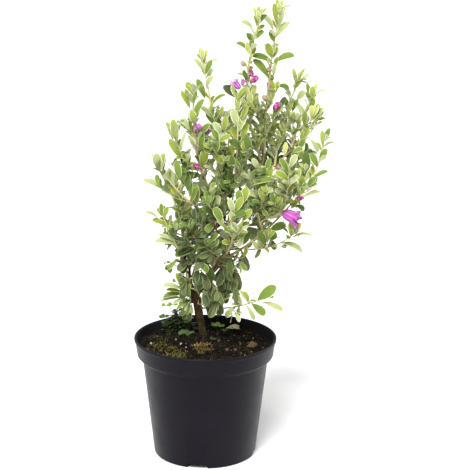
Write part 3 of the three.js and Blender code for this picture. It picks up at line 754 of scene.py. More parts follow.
MOSS_TUFT = {"reach": 75, "lean": 0.9, "middle": 1.1, "lower": 0.6, "sizes": (0.7, 1.2), "width": 0.32,
             "curl": 0.6, "own": 0.6, "sunk": 0.2}
GOLD_STRAND = {"count": 110, "core": 0.35, "upright": (0.5, 1.8), "sizes": (0.6, 1.05), "width": 0.11,
               "curl": (0.8, 1.7), "own": 0.75, "sunk": 0.3}


def make_moss():
    chance = random.Random(SEEDS["moss"])
    tuft, strand = MOSS_TUFT, GOLD_STRAND
    blades = []
    for x, y, radius, tufts, height, moss in MOSS_PATCHES:
        for _ in range(tufts):
            away = radius * math.sqrt(chance.random())
            angle = chance.uniform(0, 2 * math.pi)
            px, py = x + away * math.cos(angle), y + away * math.sin(angle)
            if math.hypot(px, py) > tuft["reach"]:
                continue
            lean = [chance.uniform(-tuft["lean"], tuft["lean"]) for _ in range(2)] + [1]
            size = height * (tuft["middle"] - tuft["lower"] * away / radius)
            size *= chance.uniform(*tuft["sizes"])
            kind = moss if chance.random() < tuft["own"] else chance.choice([0, 2, 3, 3])
            blades.append(blade((px, py, ground(px, py) - tuft["sunk"]), lean, size, size * tuft["width"],
                                curl=chance.uniform(-tuft["curl"], tuft["curl"]), moss=kind))
    for x, y, radius in GOLD_TUFTS:
        for _ in range(strand["count"]):
            angle = chance.uniform(0, 2 * math.pi)
            away = radius * strand["core"] * math.sqrt(chance.random())
            px, py = x + away * math.cos(angle), y + away * math.sin(angle)
            lean = (math.cos(angle), math.sin(angle), chance.uniform(*strand["upright"]))
            size = radius * chance.uniform(*strand["sizes"])
            curl = chance.uniform(*strand["curl"])
            kind = 2 if chance.random() < strand["own"] else 1
            blades.append(blade((px, py, ground(px, py) - strand["sunk"]), lean, size,
                                size * strand["width"], curl=curl, moss=kind))
    moss = blades_piece("soil_moss", blades, "strap", MOSSES.values(), lambda b, kind: b["moss"])
    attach(moss, "root")


WEEDS = [
    # x, y, height over the soil, leaflets, leaflet length, kind
    (14, 44, 8, 5, 6, 0), (19, 48, 6, 4, 5.5, 0),
    (22, 40, 3, 4, 5, 2), (11, 50, 6, 3, 5, 2),
    (-22, 12, 4, 5, 6, 2), (-27, 15, 5, 4, 7, 2),
    (-17, 16, 3, 3, 6, 2), (8, -2, 3, 3, 5, 1),
    (-8, 26, 4, 3, 6, 1), (-48, 54, 12, 3, 8, 2),
    (-51, 50, 20, 4, 7, 2), (-44, 50, 6, 4, 7, 1),
]
SEEDLINGS = [(-49, 56, 32), (-41, 56, 33)]
# Most undergrowth leaves take the dark weed green, partly painted shade under the crown.
UNDERGROWTH = {"at": (-33, 52), "reach": (18, 12), "height": 31, "leaves": 330, "size": (3.5, 7.5),
               "limit": 71, "kinds": (3, 77, 20)}
# How far a stalk's head sways, its bend and its radii
WEED_STALK = (1, (0.5, -0.4, 0), (0.3, 0.25))
SEEDLING_STALK = (2, (0.8, 0.5, 0), (0.3, 0.22))
SKYWARD = TOWARDS_VIEWER + UP


def grow_stalk(stalks, x, y, height, shape, chance):
    """Adds a stalk that starts a little under the soil, and gives the place of its head."""
    sway, bend, radii = shape
    foot = np.array([x, y, ground(x, y) - 0.5])
    head = foot + (chance.uniform(-sway, sway), chance.uniform(-sway, sway), height)
    stalks.append(([foot, (foot + head) / 2 + bend, head], radii, 0))
    return head


def make_weeds():
    chance = random.Random(SEEDS["weeds"])
    leaflets, stalks = [], []
    for x, y, height, count, length, kind in WEEDS:
        head = grow_stalk(stalks, x, y, height, WEED_STALK, chance)
        start = chance.uniform(0, 120)
        for k in range(count):
            angle = math.radians(start + 360 / count * k)
            way = (math.cos(angle), math.sin(angle), chance.uniform(0.1, 0.7))
            leaflets.append(blade(head, way, length, length * 0.7, SKYWARD, curl=0.35, fold=0.15,
                                  weed=kind))
    for x, y, height in SEEDLINGS:
        head = grow_stalk(stalks, x, y, height, SEEDLING_STALK, chance)
        for side in (0, 180):
            angle = math.radians(side + chance.uniform(-30, 30))
            way = (math.cos(angle), math.sin(angle) * 0.5, 0.2)
            leaflets.append(blade(head, way, 6.2, 5.6, SKYWARD, curl=0.2, weed=0))
    growth = UNDERGROWTH
    for _ in range(growth["leaves"]):
        away, angle = math.sqrt(chance.random()), chance.uniform(0, 2 * math.pi)
        x = growth["at"][0] + growth["reach"][0] * away * math.cos(angle)
        y = growth["at"][1] + growth["reach"][1] * away * math.sin(angle)
        if math.hypot(x, y) > growth["limit"]:
            continue
        top = growth["height"] * (1 - 0.7 * away ** 2)
        foot = np.array([x, y, ground(x, y) - 0.3])
        head = foot + (chance.uniform(-2, 2), chance.uniform(-2, 2), top * chance.uniform(0.35, 1))
        stalks.append(([foot, head], (0.22, 0.2), 0))
        turn = chance.uniform(0, 2 * math.pi)
        size = chance.uniform(*growth["size"])
        way = (math.cos(turn), math.sin(turn), chance.uniform(-0.3, 0.6))
        kind = chance.choices([0, 1, 2], weights=growth["kinds"])[0]
        leaflets.append(blade(head, way, size, size * 0.75, curl=0.4, weed=kind))
    piece = blades_piece("weed_leaves", leaflets, "oval", WEED_GREENS.values(), lambda b, kind: b["weed"])
    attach(piece, "root")
    stems = make_rods("weed_stalks", stalks, [WEED_GREENS["green"]], 0)
    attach(stems, "root")
    fallen = [blade((25, 57, ground(25, 57) + 3), (1, 0.1, 0.25), 20, 8, SKYWARD, curl=0.8, fold=0.2),
              blade((-14, 60, ground(-14, 60) + 1), (-0.5, 0.4, 0.15), 15, 7, curl=0.5, fold=0.3)]
    piece = blades_piece("fallen_leaves", fallen, "leaf", [FALLEN_LEAF_PAINTED_LIGHT], lambda b, kind: 0)
    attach(piece, "root")


# Limbs: the trunk, its boughs and the stems of the masses

class Line:
    """A limb, stem or twig: its points, and its radius from foot to tip."""

    def __init__(self, points, radii):
        self.points = np.asarray(points, dtype=float)
        runs = np.linalg.norm(np.diff(self.points, axis=0), axis=1)
        self.length = runs.sum()
        self.shares = np.r_[0, np.cumsum(runs)] / self.length
        self.radii = radii

    def at(self, share):
        return np.array([np.interp(share, self.shares, column) for column in self.points.T])

    def along(self, share):
        i = min(int(np.searchsorted(self.shares, share, side="right")), len(self.shares) - 1)
        return unit(self.points[i] - self.points[i - 1])

    def radius(self, share):
        return lerp(*self.radii, share)

    def steps(self, distance):
        """Shares of the line, nearly a distance apart."""
        return np.linspace(0, 1, int(self.length / distance) + 2)


LIMB_RUNS = 24


def curved(foot, bend, tip, runs):
    """Points on the curve from foot to tip that a bend pulls."""
    return pulled(foot, bend, tip, np.linspace(0, 1, runs + 1)[:, None])


def pull_of(foot, tip, bow):
    """The point that pulls a limb into its bow."""
    return (np.array(foot) + np.array(tip)) / 2 + 2 * np.array(bow)


def bowed(foot, tip, bow):
    bend = pull_of(foot, tip, bow)
    return curved(np.array(foot, dtype=float), bend, np.array(tip, dtype=float), LIMB_RUNS)


# Each limb by the one that carries it, how far along it, its tip, its bow and its radii
BOUGHS = {
    "right_bough": ("trunk", 1, (26, 2, 250), (-2, 2, 0), (3.5, 2.8)),
    "left_bough": ("trunk", 0.9, (-19.5, 0, 242), (-0.5, 1, 0), (2.5, 1.8)),
    "centre_bough": ("right_bough", 1, (31, -10, 316), (-3, 0, 0), (1.9, 1.3)),
    "right_arm": ("right_bough", 0.93, (104, -14, 317), (-1, -4, -7), (1.9, 1.1)),
    "back_bough": ("right_bough", 0.84, (60, 20, 320), (2, 4, -3), (2, 1.5)),
    "rear_bough": ("right_bough", 0.62, (14, 30, 318), (-2, 7, -4), (1.9, 1.3)),
    "diagonal_bough": ("centre_bough", 0.2, (-17, -28, 320), (2, -2, -3), (1.4, 1)),
    "high_bough": ("back_bough", 1, (68, 14, 364), (0, 2, 0), (1.4, 1.1)),
    "right_high_bough": ("back_bough", 0.9, (108, 12, 379), (-3, 3, 0), (1.2, 0.9)),
}

# How the masses differ: bare is the share of the stem below its first twig and forked the share
# below its last one, leaf the length of the largest leaf, every the distance from leaf to leaf,
# reach the length of the side twigs, droop how far the leaves hang, and tones the colours of
# the sprays, the lowest first
LEADER = {"bare": 0.06, "forked": 0.4, "leaf": 20, "every": 6.5, "reach": 30, "droop": 0,
          "tones": ("green", "olive", "fresh", "young")}
SHOOT = {"bare": 0.1, "forked": 0.5, "leaf": 27, "every": 7.0, "reach": 32, "droop": 0,
         "tones": ("deep", "green", "olive", "fresh")}
LEAFY = {"bare": 0.08, "forked": 0.85, "leaf": 25, "every": 6.0, "reach": 34, "droop": 0,
         "tones": ("deep", "green", "olive", "grey")}
REAR = {"bare": 0.08, "forked": 0.9, "leaf": 26, "every": 6.0, "reach": 38, "droop": 0,
        "tones": ("deep", "green", "olive", "grey")}
# The low, draped and hanging masses take the darkest tones, painted shade under the crown.
LOW = {**LEAFY, "tones": ("shade", "painted_shade_olive", "deep", "green")}
SPRIG = {"bare": 0.3, "forked": 0.8, "leaf": 26, "every": 8.0, "reach": 26, "droop": 0,
         "tones": ("deep", "grey", "olive")}
DRAPED = {"bare": 0.1, "forked": 0.85, "leaf": 29, "every": 7.0, "reach": 24, "droop": 0.5,
          "tones": ("shade", "painted_shade_olive", "deep", "painted_shade_olive")}
HANGING = {"bare": 0.1, "forked": 0.85, "leaf": 34, "every": 6.5, "reach": 26, "droop": 1,
           "tones": ("shade", "shade", "painted_shade_olive")}

# Each mass by its limb, how far along it, its stem's tip and bow, and its kind
MASSES = {
    "top_leader": ("high_bough", 1, (83, 2, 530), (-4, 3, 0), LEADER),
    "second_leader": ("high_bough", 0.8, (60, -10, 522), (-15, 2, 0), LEADER),
    "right_rear_shoot": ("right_high_bough", 0.5, (107, 32, 446), (-4, 4, 0), LEADER),
    "right_tall_shoot": ("right_high_bough", 0.86, (124, 18, 432), (-1, 2, 2), LEADER),
    "right_outer_shoot": ("right_high_bough", 1, (129, 3, 408), (2, -1, -2), LEADER),
    "arm_end_shoot": ("right_arm", 1, (135, -14, 386), (5, 0, -6), LEADER),
    "arm_flower_twig": ("right_arm", 0.22, (102, -34, 281), (3, -2, -5), SPRIG),
    "arm_drooping_leaves": ("right_arm", 0.4, (67, -4, 255), (4, 0, -2), DRAPED),
    "arm_inner_shoot": ("right_arm", 0.5, (62, -32, 350), (-6, -4, 2), LEAFY),
    "arm_front_shoot": ("right_arm", 0.76, (94, -58, 356), (0, -8, -4), LEAFY),
    "front_leader": ("centre_bough", 1, (34, -40, 438), (3, 2, 0), SHOOT),
    "centre_inner_shoot": ("centre_bough", 0.85, (16, -26, 398), (-6, -4, 4), LEAFY),
    "centre_front_shoot": ("right_bough", 0.92, (34, -60, 300), (0, -8, -6), LEAFY),
    "front_low_shoot": ("diagonal_bough", 0.3, (6, -62, 334), (0, -8, -8), LOW),
    "left_tall_leader": ("rear_bough", 1, (-5, 12, 474), (5, -3, -2), LEADER),
    "left_leader": ("centre_bough", 0.55, (-15, -10, 440), (-11, 0, -4), SPRIG),
    "left_outer_shoot": ("diagonal_bough", 1, (-37, -38, 400), (2, -2, -3), SHOOT),
    "left_side_shoot": ("diagonal_bough", 0.9, (-42, -46, 346), (1, -2, -3), SHOOT),
    "far_left_shoot": ("left_bough", 1, (-54, -20, 352), (5, -2, 2), SHOOT),
    "low_left_shoot": ("left_bough", 0.86, (-49, -14, 294), (1, 0, -4), SHOOT),
    "left_rear_shoot": ("left_bough", 0.94, (-36, 48, 326), (-3, 8, -4), REAR),
    "left_inner_shoot": ("left_bough", 0.8, (-8, -24, 298), (1, -6, -3), LOW),
    "left_hanging_leaves": ("left_bough", 0.62, (-32, -16, 252), (0, -2, 5), DRAPED),
    "left_front_leaves": ("left_bough", 0.45, (-10, -30, 246), (0, -4, 4), DRAPED),
    "left_foot_leaves": ("left_bough", 0.18, (-34, -10, 214), (0, -3, 3), SPRIG),
    "foot_sprig": ("trunk", 0.74, (72, -28, 203), (0, -6, -4), SPRIG),
    "right_hanging_leaves": ("right_bough", 0.66, (34, -22, 218), (8, -4, 6), HANGING),
    "front_hanging_leaves": ("right_bough", 0.3, (12, -30, 200), (4, -4, 8), HANGING),
    "centre_low_shoot": ("right_bough", 0.8, (2, -42, 280), (-2, -6, -6), LOW),
    "low_rear_shoot": ("right_bough", 0.4, (30, 56, 246), (4, 4, -4), LOW),
    "rear_left_shoot": ("rear_bough", 0.8, (-20, 56, 400), (-4, 8, -4), REAR),
    "rear_centre_shoot": ("rear_bough", 0.92, (30, 60, 398), (2, 9, -4), REAR),
    "rear_right_shoot": ("back_bough", 0.8, (66, 64, 380), (2, 9, -5), REAR),
    "rear_outer_shoot": ("right_high_bough", 0.3, (108, 60, 362), (3, 6, -6), REAR),
    "rear_low_shoot": ("back_bough", 0.45, (80, 50, 290), (4, 5, -5), LOW),
    "rear_inner_shoot": ("rear_bough", 0.55, (-2, 62, 322), (-2, 7, -5), REAR),
}
STEM_RADII = (1.3, 0.65)


def foot_on(parent, at, aim, radius):
    """Where a limb that leaves its parent starts: just clear of its tip or its flank."""
    point, along = parent.at(at), parent.along(at)
    way = unit(aim - point)
    slant = math.acos(max(-1, min(1, way @ along)))
    if at == 1:
        return point + along * (GAP + radius * math.sin(slant))
    out = unit(way - along * (way @ along))
    return point + out * (parent.radius(at) + GAP + radius * abs(math.cos(slant)))


def make_limb(row, radii, limbs):
    parent, at, tip, bow = row[:4]
    aim = pull_of(limbs[parent].at(at), tip, bow)
    foot = foot_on(limbs[parent], at, aim, radii[0])
    return Line(bowed(foot, tip, bow), radii)


def trunk_line():
    foot = (*TRUNK["foot"], SOIL_SHAPE["level"] + SOIL_SHAPE["mound"] + GAP)
    return Line(bowed(foot, TRUNK["tip"], TRUNK["bow"]), TRUNK["radii"])


def all_limbs():
    limbs = {"trunk": trunk_line()}
    for name, row in BOUGHS.items():
        limbs[name] = make_limb(row, row[4], limbs)
    return limbs


def make_rods(name, lines, materials, roundness):
    """Round rods along lines of points, joined in one mesh. Each has its radii and its material."""
    curve = bpy.data.curves.new(name, "CURVE")
    curve.dimensions = "3D"
    curve.bevel_depth = MM
    curve.bevel_resolution = roundness
    curve.use_fill_caps = True
    for material in materials:
        curve.materials.append(material)
    for points, radii, slot in lines:
        spline = curve.splines.new("POLY")
        spline.points.add(len(points) - 1)
        sizes = np.linspace(radii[0], radii[-1], len(points)) if len(radii) == 2 else radii
        for spot, place, size in zip(spline.points, points, sizes):
            spot.co = (*(np.asarray(place) * MM), 1)
            spot.radius = size
        spline.material_index = slot
        spline.use_smooth = True
    rods = bpy.data.objects.new(name, curve)
    bpy.context.scene.collection.objects.link(rods)
    select_only(rods)
    bpy.ops.object.convert(target="MESH")
    rods = bpy.context.active_object
    rods.name = rods.data.name = name
    smooth(rods, 60)
    return rods


BARK_SHAPE = {"runs": 40, "sunk": 4, "inside": 2, "slim": 0.92, "sides": 4, "voxel": 0.55}
# A cut stub on the trunk, and the swelling in its fork, each by shares along the limbs
STUB = {"at": 0.93, "step": (5.5, -5.5, 2.5), "radii": (2.6, 2.1)}
CROTCH = {"from": 0.95, "over": (-1.5, -1, 7), "to": 0.42, "radii": (4.2, 2.9, 2.0)}
# The ridges and knots, their sizes in mm, and the heights under which they and the lobes grow.
# Above that they keep the least share
RELIEF = {"ridge": 0.75, "ridge_size": (2.5, 13), "knot": 0.5, "knot_size": 6, "knot_seed": 7,
          "least": 0.35, "from": 230, "over": 90, "lobes_from": 140}
BARK_PATCH = {"across": 5, "up": 8}
# The height where each bark begins or ends, and how far that edge wavers. The near-black bark below the
# lowest is moss and painted shade.
YOUNG_FROM, MOSSY_SHADED_TO, WARM_FROM = (250, 30), (172, 26), (204, 12)
WARM_RIGHT_OF = -6


def bark_lines(limbs):
    """The lines of the trunk, the boughs, a stub and the swelling in the fork."""
    shape, trunk = BARK_SHAPE, limbs["trunk"]
    shares = np.linspace(0, 1, shape["runs"])
    flare = TRUNK["flare"] * np.exp(-(shares * trunk.length) / TRUNK["flare_height"])
    sizes = lerp(*TRUNK["bark_radii"], shares) + flare
    points = np.array([trunk.at(share) for share in shares])
    below = points[0] - (0, 0, shape["sunk"])
    lines = [(np.vstack([below, points]), np.r_[sizes[0], sizes], 0)]
    for name, (carrier, at, *_, radii) in BOUGHS.items():
        limb, parent = limbs[name], limbs[carrier]
        inner = parent.at(max(0, at - shape["inside"] / parent.length))
        run = np.vstack([inner, parent.at(at), limb.points])
        slim = np.linspace(radii[0], radii[1], len(limb.points)) * shape["slim"]
        lines.append((run, np.r_[slim[0], slim[0], slim], 0))
    stub = trunk.at(STUB["at"])
    lines.append((np.array([stub, stub + STUB["step"]]), STUB["radii"], 0))
    crotch = np.array([trunk.at(CROTCH["from"]), trunk.at(1) + CROTCH["over"],
                       limbs["left_bough"].at(CROTCH["to"])])
    lines.append((crotch, CROTCH["radii"], 0))
    return lines


def bark_relief(x, y, z):
    """How far the bark stands out at a point: ridges and knots, and lobes round the foot."""
    wide, tall = RELIEF["ridge_size"]
    knot_size = RELIEF["knot_size"]
    ridge = noise.fractal((x / wide, y / wide, z / tall), 0.8, 2.2, 3)
    knot = noise.noise((x / knot_size, y / knot_size, z / knot_size + RELIEF["knot_seed"]))
    low = math.exp(-max(0, z - RELIEF["lobes_from"]) / TRUNK["flare_height"])
    lobe = math.cos(TRUNK["lobes"] * math.atan2(y - TRUNK["foot"][1], x - TRUNK["foot"][0]))
    thick = min(1, RELIEF["least"] + max(0, RELIEF["from"] - z) / RELIEF["over"])
    relief = (RELIEF["ridge"] * ridge + RELIEF["knot"] * knot) * thick
    return relief + low * lobe * TRUNK["flare"] * TRUNK["lobe_depth"]


def make_bark(limbs):
    """The trunk and boughs, fused where they fork, with ridged bark."""
    bark = make_rods("bark", bark_lines(limbs), [BARK], BARK_SHAPE["sides"])
    apply_modifier(bark, "REMESH", mode="VOXEL", voxel_size=BARK_SHAPE["voxel"] * MM)
    apply_modifier(bark, "SMOOTH", factor=0.5, iterations=3)
    points = points_of(bark)
    normals = np.empty(len(points) * 3)
    bark.data.vertices.foreach_get("normal", normals)
    normals = normals.reshape(-1, 3)
    for i, (x, y, z) in enumerate(points):
        points[i] += normals[i] * bark_relief(x, y, z)
    set_points(bark, points)
    smooth(bark, 60)
    paint(bark, BARK_MOSSY_AND_SHADED, BARK_YOUNG, BARK_WARM)
    for face in bark.data.polygons:
        x, y, z = face.center / MM
        patch = noise.noise((x / BARK_PATCH["across"], y / BARK_PATCH["across"], z / BARK_PATCH["up"]))
        young, mossy_shaded, warm = (level + waver * patch for level, waver in (YOUNG_FROM, MOSSY_SHADED_TO, WARM_FROM))
        if z > young:
            face.material_index = 2
        # The darker foot: moss and painted shade.
        elif z < mossy_shaded:
            face.material_index = 1
        elif z > warm and x > WARM_RIGHT_OF:
            face.material_index = 3
    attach(bark, "root")
    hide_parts("trunk", *BOUGHS)


# The masses: stems, twigs and leaves

# Lengths in mm, angles in degrees and shares. Lower and middle are places along a leaf
TWIG = {"every": 11, "spread": 46, "lift": 0.35, "tip_share": 0.4, "bare": 0.12, "size": 0.72,
        "closer": 0.8, "wander": 10, "shorter": (1, 0.6, 0.35)}
TWIGLET = {"every": 12, "longest": 13, "from": 20, "bare": 0.3, "size": 0.85, "closer": 0.9}
LEAF = {"foot_spread": 60, "tip_spread": 30, "tip_share": 0.72, "crowding": 1.15, "first": 2.5,
        "width": 0.45, "apart": 0.22, "upward": 0.35, "outward": 0.45, "aside": 0.78, "younger": 0.4,
        "lower": 0.35, "middle": 0.6, "roll": 36, "fold": (0.15, 0.65), "curl": (0.1, 1.1), "twist": 0.25,
        "wander": 12, "last": 0.985}
# The radii of what carries the leaves
RODS = {"sprig": (1.1, 0.7), "stem": (1.35, 0.85), "twig": (0.8, 0.4), "twiglet": (0.5, 0.3),
        "joint": (1.3, 1.1), "leaf_twig": (0.6, 0.45), "stalk": (0.5, 0.6)}
CROWN_AXIS = np.array([30.0, 5.0, 0.0])
MOST_LEAVES = 12000
ROSETTE = {"leaves": 3, "size": 0.6, "spread": (14, 42), "sizes": (0.7, 1.15), "step": 0.012,
           "droop": 0.5}
# What a leaf tries until it finds room: a turn aside, a share of its spread and of its size
STANCES = [(0, 1, 1), (0, 0.65, 0.95), (60, 0.85, 0.85), (-60, 0.85, 0.85), (180, 0.8, 0.8),
           (0, 0.5, 0.65)]
CLEAR = {"space": -14, "limb": 0.6, "soil": 1.5, "rim": 1}


def leaving(along, turn, spread):
    """A direction that leaves a line at an angle, at a turn round it."""
    across = np.array([1.0, 0, 0]) if abs(along[2]) > 0.95 else UP
    side = unit(np.cross(along, across))
    other = np.cross(along, side)
    turn, spread = math.radians(turn), math.radians(spread)
    side = side * math.cos(turn) + other * math.sin(turn)
    return along * math.cos(spread) + side * math.sin(spread)


# How far across a grown leaf may reach from its twig, in a mass that has placed leaves
SLIM = 8
# Where the photo shows sky between the shoots: across, down and radius in picture points
SKY = [
    (207, 160, 3), (193, 177, 3), (185, 193, 3), (178, 184, 3), (175, 201, 3), (181, 231, 4),
    (207, 182, 3), (218, 168, 3), (182, 129, 4), (185, 136, 4), (186, 196, 4), (184, 204, 3),
    (171, 251, 3), (228, 102, 6), (184, 111, 6), (187, 143, 4), (193, 157, 5), (209, 173, 4),
    (214, 164, 3), (168, 200, 4), (172, 213, 3), (158, 228, 5), (254, 257, 7), (270, 257, 8),
    (283, 238, 3), (316, 134, 6), (278, 101, 4), (263, 90, 4), (228, 137, 5), (305, 143, 3),
    (201, 118, 4), (180, 234, 4), (166, 257, 3), (231, 298, 3), (252, 294, 5), (283, 251, 4),
    (277, 255, 4), (166, 145, 8), (155, 195, 9), (267, 85, 2), (262, 97, 3), (278, 96, 4),
    (319, 168, 4), (243, 296, 4), (228, 303, 2), (194, 116, 3), (203, 121, 3), (150, 228, 8),
    (245, 280, 7), (258, 272, 10), (311, 158, 3), (310, 215, 8), (170, 165, 3), (209, 87, 4),
    (222, 78, 12), (258, 60, 3), (286, 75, 9), (280, 218, 3), (169, 108, 12), (318, 100, 8),
    (197, 72, 4), (217, 130, 3), (322, 180, 6),
]
# How wide the stems of the leaders and shoots stay open to the viewer, and how far before them
OPEN = {"width": 2.3, "before": 1}
OPEN_MASSES = ("left_tall_leader", "left_leader", "far_left_shoot",
               "low_left_shoot", "left_side_shoot", "front_leader")
# Where the trunk, its two boughs and a bud show bare. Leaves there stand behind this depth
BARE_BOUGH = [
    (212, 272, 4), (219, 263, 4), (226, 254, 4), (234, 249, 3), (243, 244, 3), (251, 240, 3),
    (190, 266, 3), (190, 274, 3), (191, 283, 3), (195, 291, 4), (198, 299, 5), (200, 307, 5),
    (200, 314, 5), (201, 321, 5), (202, 328, 5), (197, 167, 5),
]
BARE_DEPTH = 8


def pictured(points):
    """Where places show in the picture, across and down."""
    local = (points - CAMERA["place"]) @ np.array(VIEW.to_matrix())
    focal = CAMERA["lens"] / CAMERA["film"] * CAMERA["picture"]
    middle = CAMERA["picture"] / 2
    away = -local[:, 2]
    return np.stack([middle + focal * local[:, 0] / away, middle - focal * local[:, 1] / away], 1)


def in_circles(spots, circles):
    circles = np.array(circles, dtype=float)
    away = np.hypot(spots[:, None, 0] - circles[:, 0], spots[:, None, 1] - circles[:, 1])
    return (away < circles[:, 2]).any(axis=1)


class Crown:
    """Everything that grows, and the tests that keep it in its own space."""

    def __init__(self, limbs, stems):
        self.leaves, self.rods = [], []
        self.sideways = None
        self.middles = np.zeros((MOST_LEAVES, 3))
        self.count = 0
        stems = list(stems.values())
        self.owners = np.array([i for i, stem in enumerate(stems) for _ in stem.steps(3)])
        self.stem_points = np.array([stem.at(share) for stem in stems for share in stem.steps(3)])
        self.stem_spots = pictured(self.stem_points)
        self.open = False
        limbs = limbs.values()
        self.bark_points = np.array([limb.at(share) for limb in limbs for share in limb.steps(2)])
        self.bark_radii = np.array([limb.radius(share) for limb in limbs for share in limb.steps(2)])

    def fits(self, points, own):
        """Whether places are clear of the sky, the limbs and the soil, and in their mass's space."""
        spots = pictured(points)
        if in_circles(spots, SKY).any():
            return False
        if (in_circles(spots, BARE_BOUGH) & (points[:, 1] < BARE_DEPTH)).any():
            return False
        flat = np.hypot(points[:, 0], points[:, 1])
        in_pot = flat < POT["collar"] - POT["wall"] - CLEAR["rim"]
        level = np.where(in_pot, soil_height(points[:, 0], points[:, 1]) + CLEAR["soil"],
                         POT["height"] + CLEAR["rim"])
        if (points[:, 2] < level).any():
            return False
        away = np.linalg.norm(self.bark_points[None] - points[:, None], axis=2)
        if (away < self.bark_radii + CLEAR["limb"]).any():
            return False
        away = np.linalg.norm(self.stem_points[None] - points[:, None], axis=2)
        home = away[:, self.owners == own].min(axis=1)
        other = away[:, self.owners != own].min(axis=1)
        return bool((other > home + CLEAR["space"]).all())

    def veils(self, points, own):
        """Whether places would hide the stem of their own mass from the viewer."""
        mine = self.owners == own
        apart = pictured(points)[:, None] - self.stem_spots[mine]
        near = np.hypot(apart[..., 0], apart[..., 1]) < OPEN["width"]
        before = points[:, None, 1] < self.stem_points[mine][:, 1] - OPEN["before"]
        return bool((near & before).any())

    def take(self, middle):
        self.middles[self.count] = middle
        self.count += 1

    def crowded(self, middle, distance):
        near = self.middles[:self.count] - middle
        return bool(self.count) and (np.einsum("ij,ij->i", near, near) < distance ** 2).any()

    def add_leaf(self, line, at, turn, spread, size, droop, tone, own, chance):
        """Adds a leaf in the first stance that has room for it, or none."""
        centre, along = line.at(at), line.along(at)
        for aside, closer, smaller in STANCES:
            way = leaving(along, turn + aside, spread * closer)
            way = unit(way - UP * droop)
            if abs(way[1]) > LEAF["aside"]:
                continue
            length = size * smaller
            out = unit(way - along * (way @ along) + 1e-6)
            root = centre + out * line.radius(at) * 0.5
            middle = root + way * length * LEAF["middle"]
            tip = root + way * length
            if self.sideways and abs(tip[0] - centre[0]) > self.sideways:
                continue
            if self.crowded(middle, LEAF["apart"] * length):
                continue
            spots = np.array([middle, tip, root + way * length * LEAF["lower"]])
            if not self.fits(spots, own) or (self.open and self.veils(spots, own)):
                continue
            outward = unit((middle - CROWN_AXIS) * (1, 1, 0))
            face = along + UP * (LEAF["upward"] + droop) + outward * LEAF["outward"]
            roll = math.radians(chance.gauss(0, LEAF["roll"]))
            face = unit(face - way * (face @ way))
            side = np.cross(way, face)
            face = face * math.cos(roll) + side * math.sin(roll)
            width = length * LEAF["width"] * chance.uniform(0.85, 1.15)
            self.leaves.append(blade(root, way, length, width, face, fold=chance.uniform(*LEAF["fold"]),
                                     curl=chance.uniform(*LEAF["curl"]),
                                     twist=chance.gauss(0, LEAF["twist"]), tone=tone, own=own))
            self.take(middle)
            return

    def dress(self, line, bare, leaf, every, kind, spray, own, chance, foot_share=1.0):
        """Leaves round a line by the golden angle, smaller, closer and more upright to its tip."""
        first = max(bare * line.length, LEAF["first"]) / line.length
        if first >= 0.95:
            first = 0.5
        count = max(3, round((1 - first) * line.length / every) + 2)
        turn = chance.uniform(0, 360)
        for k in range(count):
            left = 1 - (k + 0.3 * chance.random()) / (count - 0.7)
            at = min(1 - (1 - first) * left ** LEAF["crowding"], LEAF["last"])
            size = leaf * lerp(foot_share, LEAF["tip_share"], at) * chance.uniform(0.85, 1.12)
            spread = lerp(LEAF["foot_spread"], LEAF["tip_spread"], at) * chance.uniform(0.85, 1.15)
            tone = tone_of(kind, spray + LEAF["younger"] * (at - 0.5), chance)
            self.add_leaf(line, at, turn, spread, size, kind["droop"], tone, own, chance)
            turn += GOLDEN_ANGLE + chance.uniform(-LEAF["wander"], LEAF["wander"])
        for k in range(ROSETTE["leaves"]):
            size = leaf * ROSETTE["size"] * chance.uniform(*ROSETTE["sizes"])
            spread = chance.uniform(*ROSETTE["spread"])
            tone = tone_of(kind, spray + LEAF["younger"], chance)
            at, droop = 1 - ROSETTE["step"] * k, ROSETTE["droop"] * kind["droop"]
            self.add_leaf(line, at, turn, spread, size, droop, tone, own, chance)
            turn += GOLDEN_ANGLE


def twig_line(parent, at, turn, length, droop, radii):
    foot, along = parent.at(at), parent.along(at)
    way = leaving(along, turn, TWIG["spread"])
    lift = UP * TWIG["lift"] * (1 - 2 * droop)
    tip = foot + unit(way + lift) * length
    return Line(curved(foot, foot + way * length * 0.5, tip, max(3, int(length / 4))), radii)


def tone_of(kind, share, chance):
    """A leaf's colour: the mass's own, paler and younger towards the tips."""
    place = share * (len(kind["tones"]) - 1) + chance.gauss(0, 0.7)
    return kind["tones"][int(max(0, min(len(kind["tones"]) - 1, round(place))))]


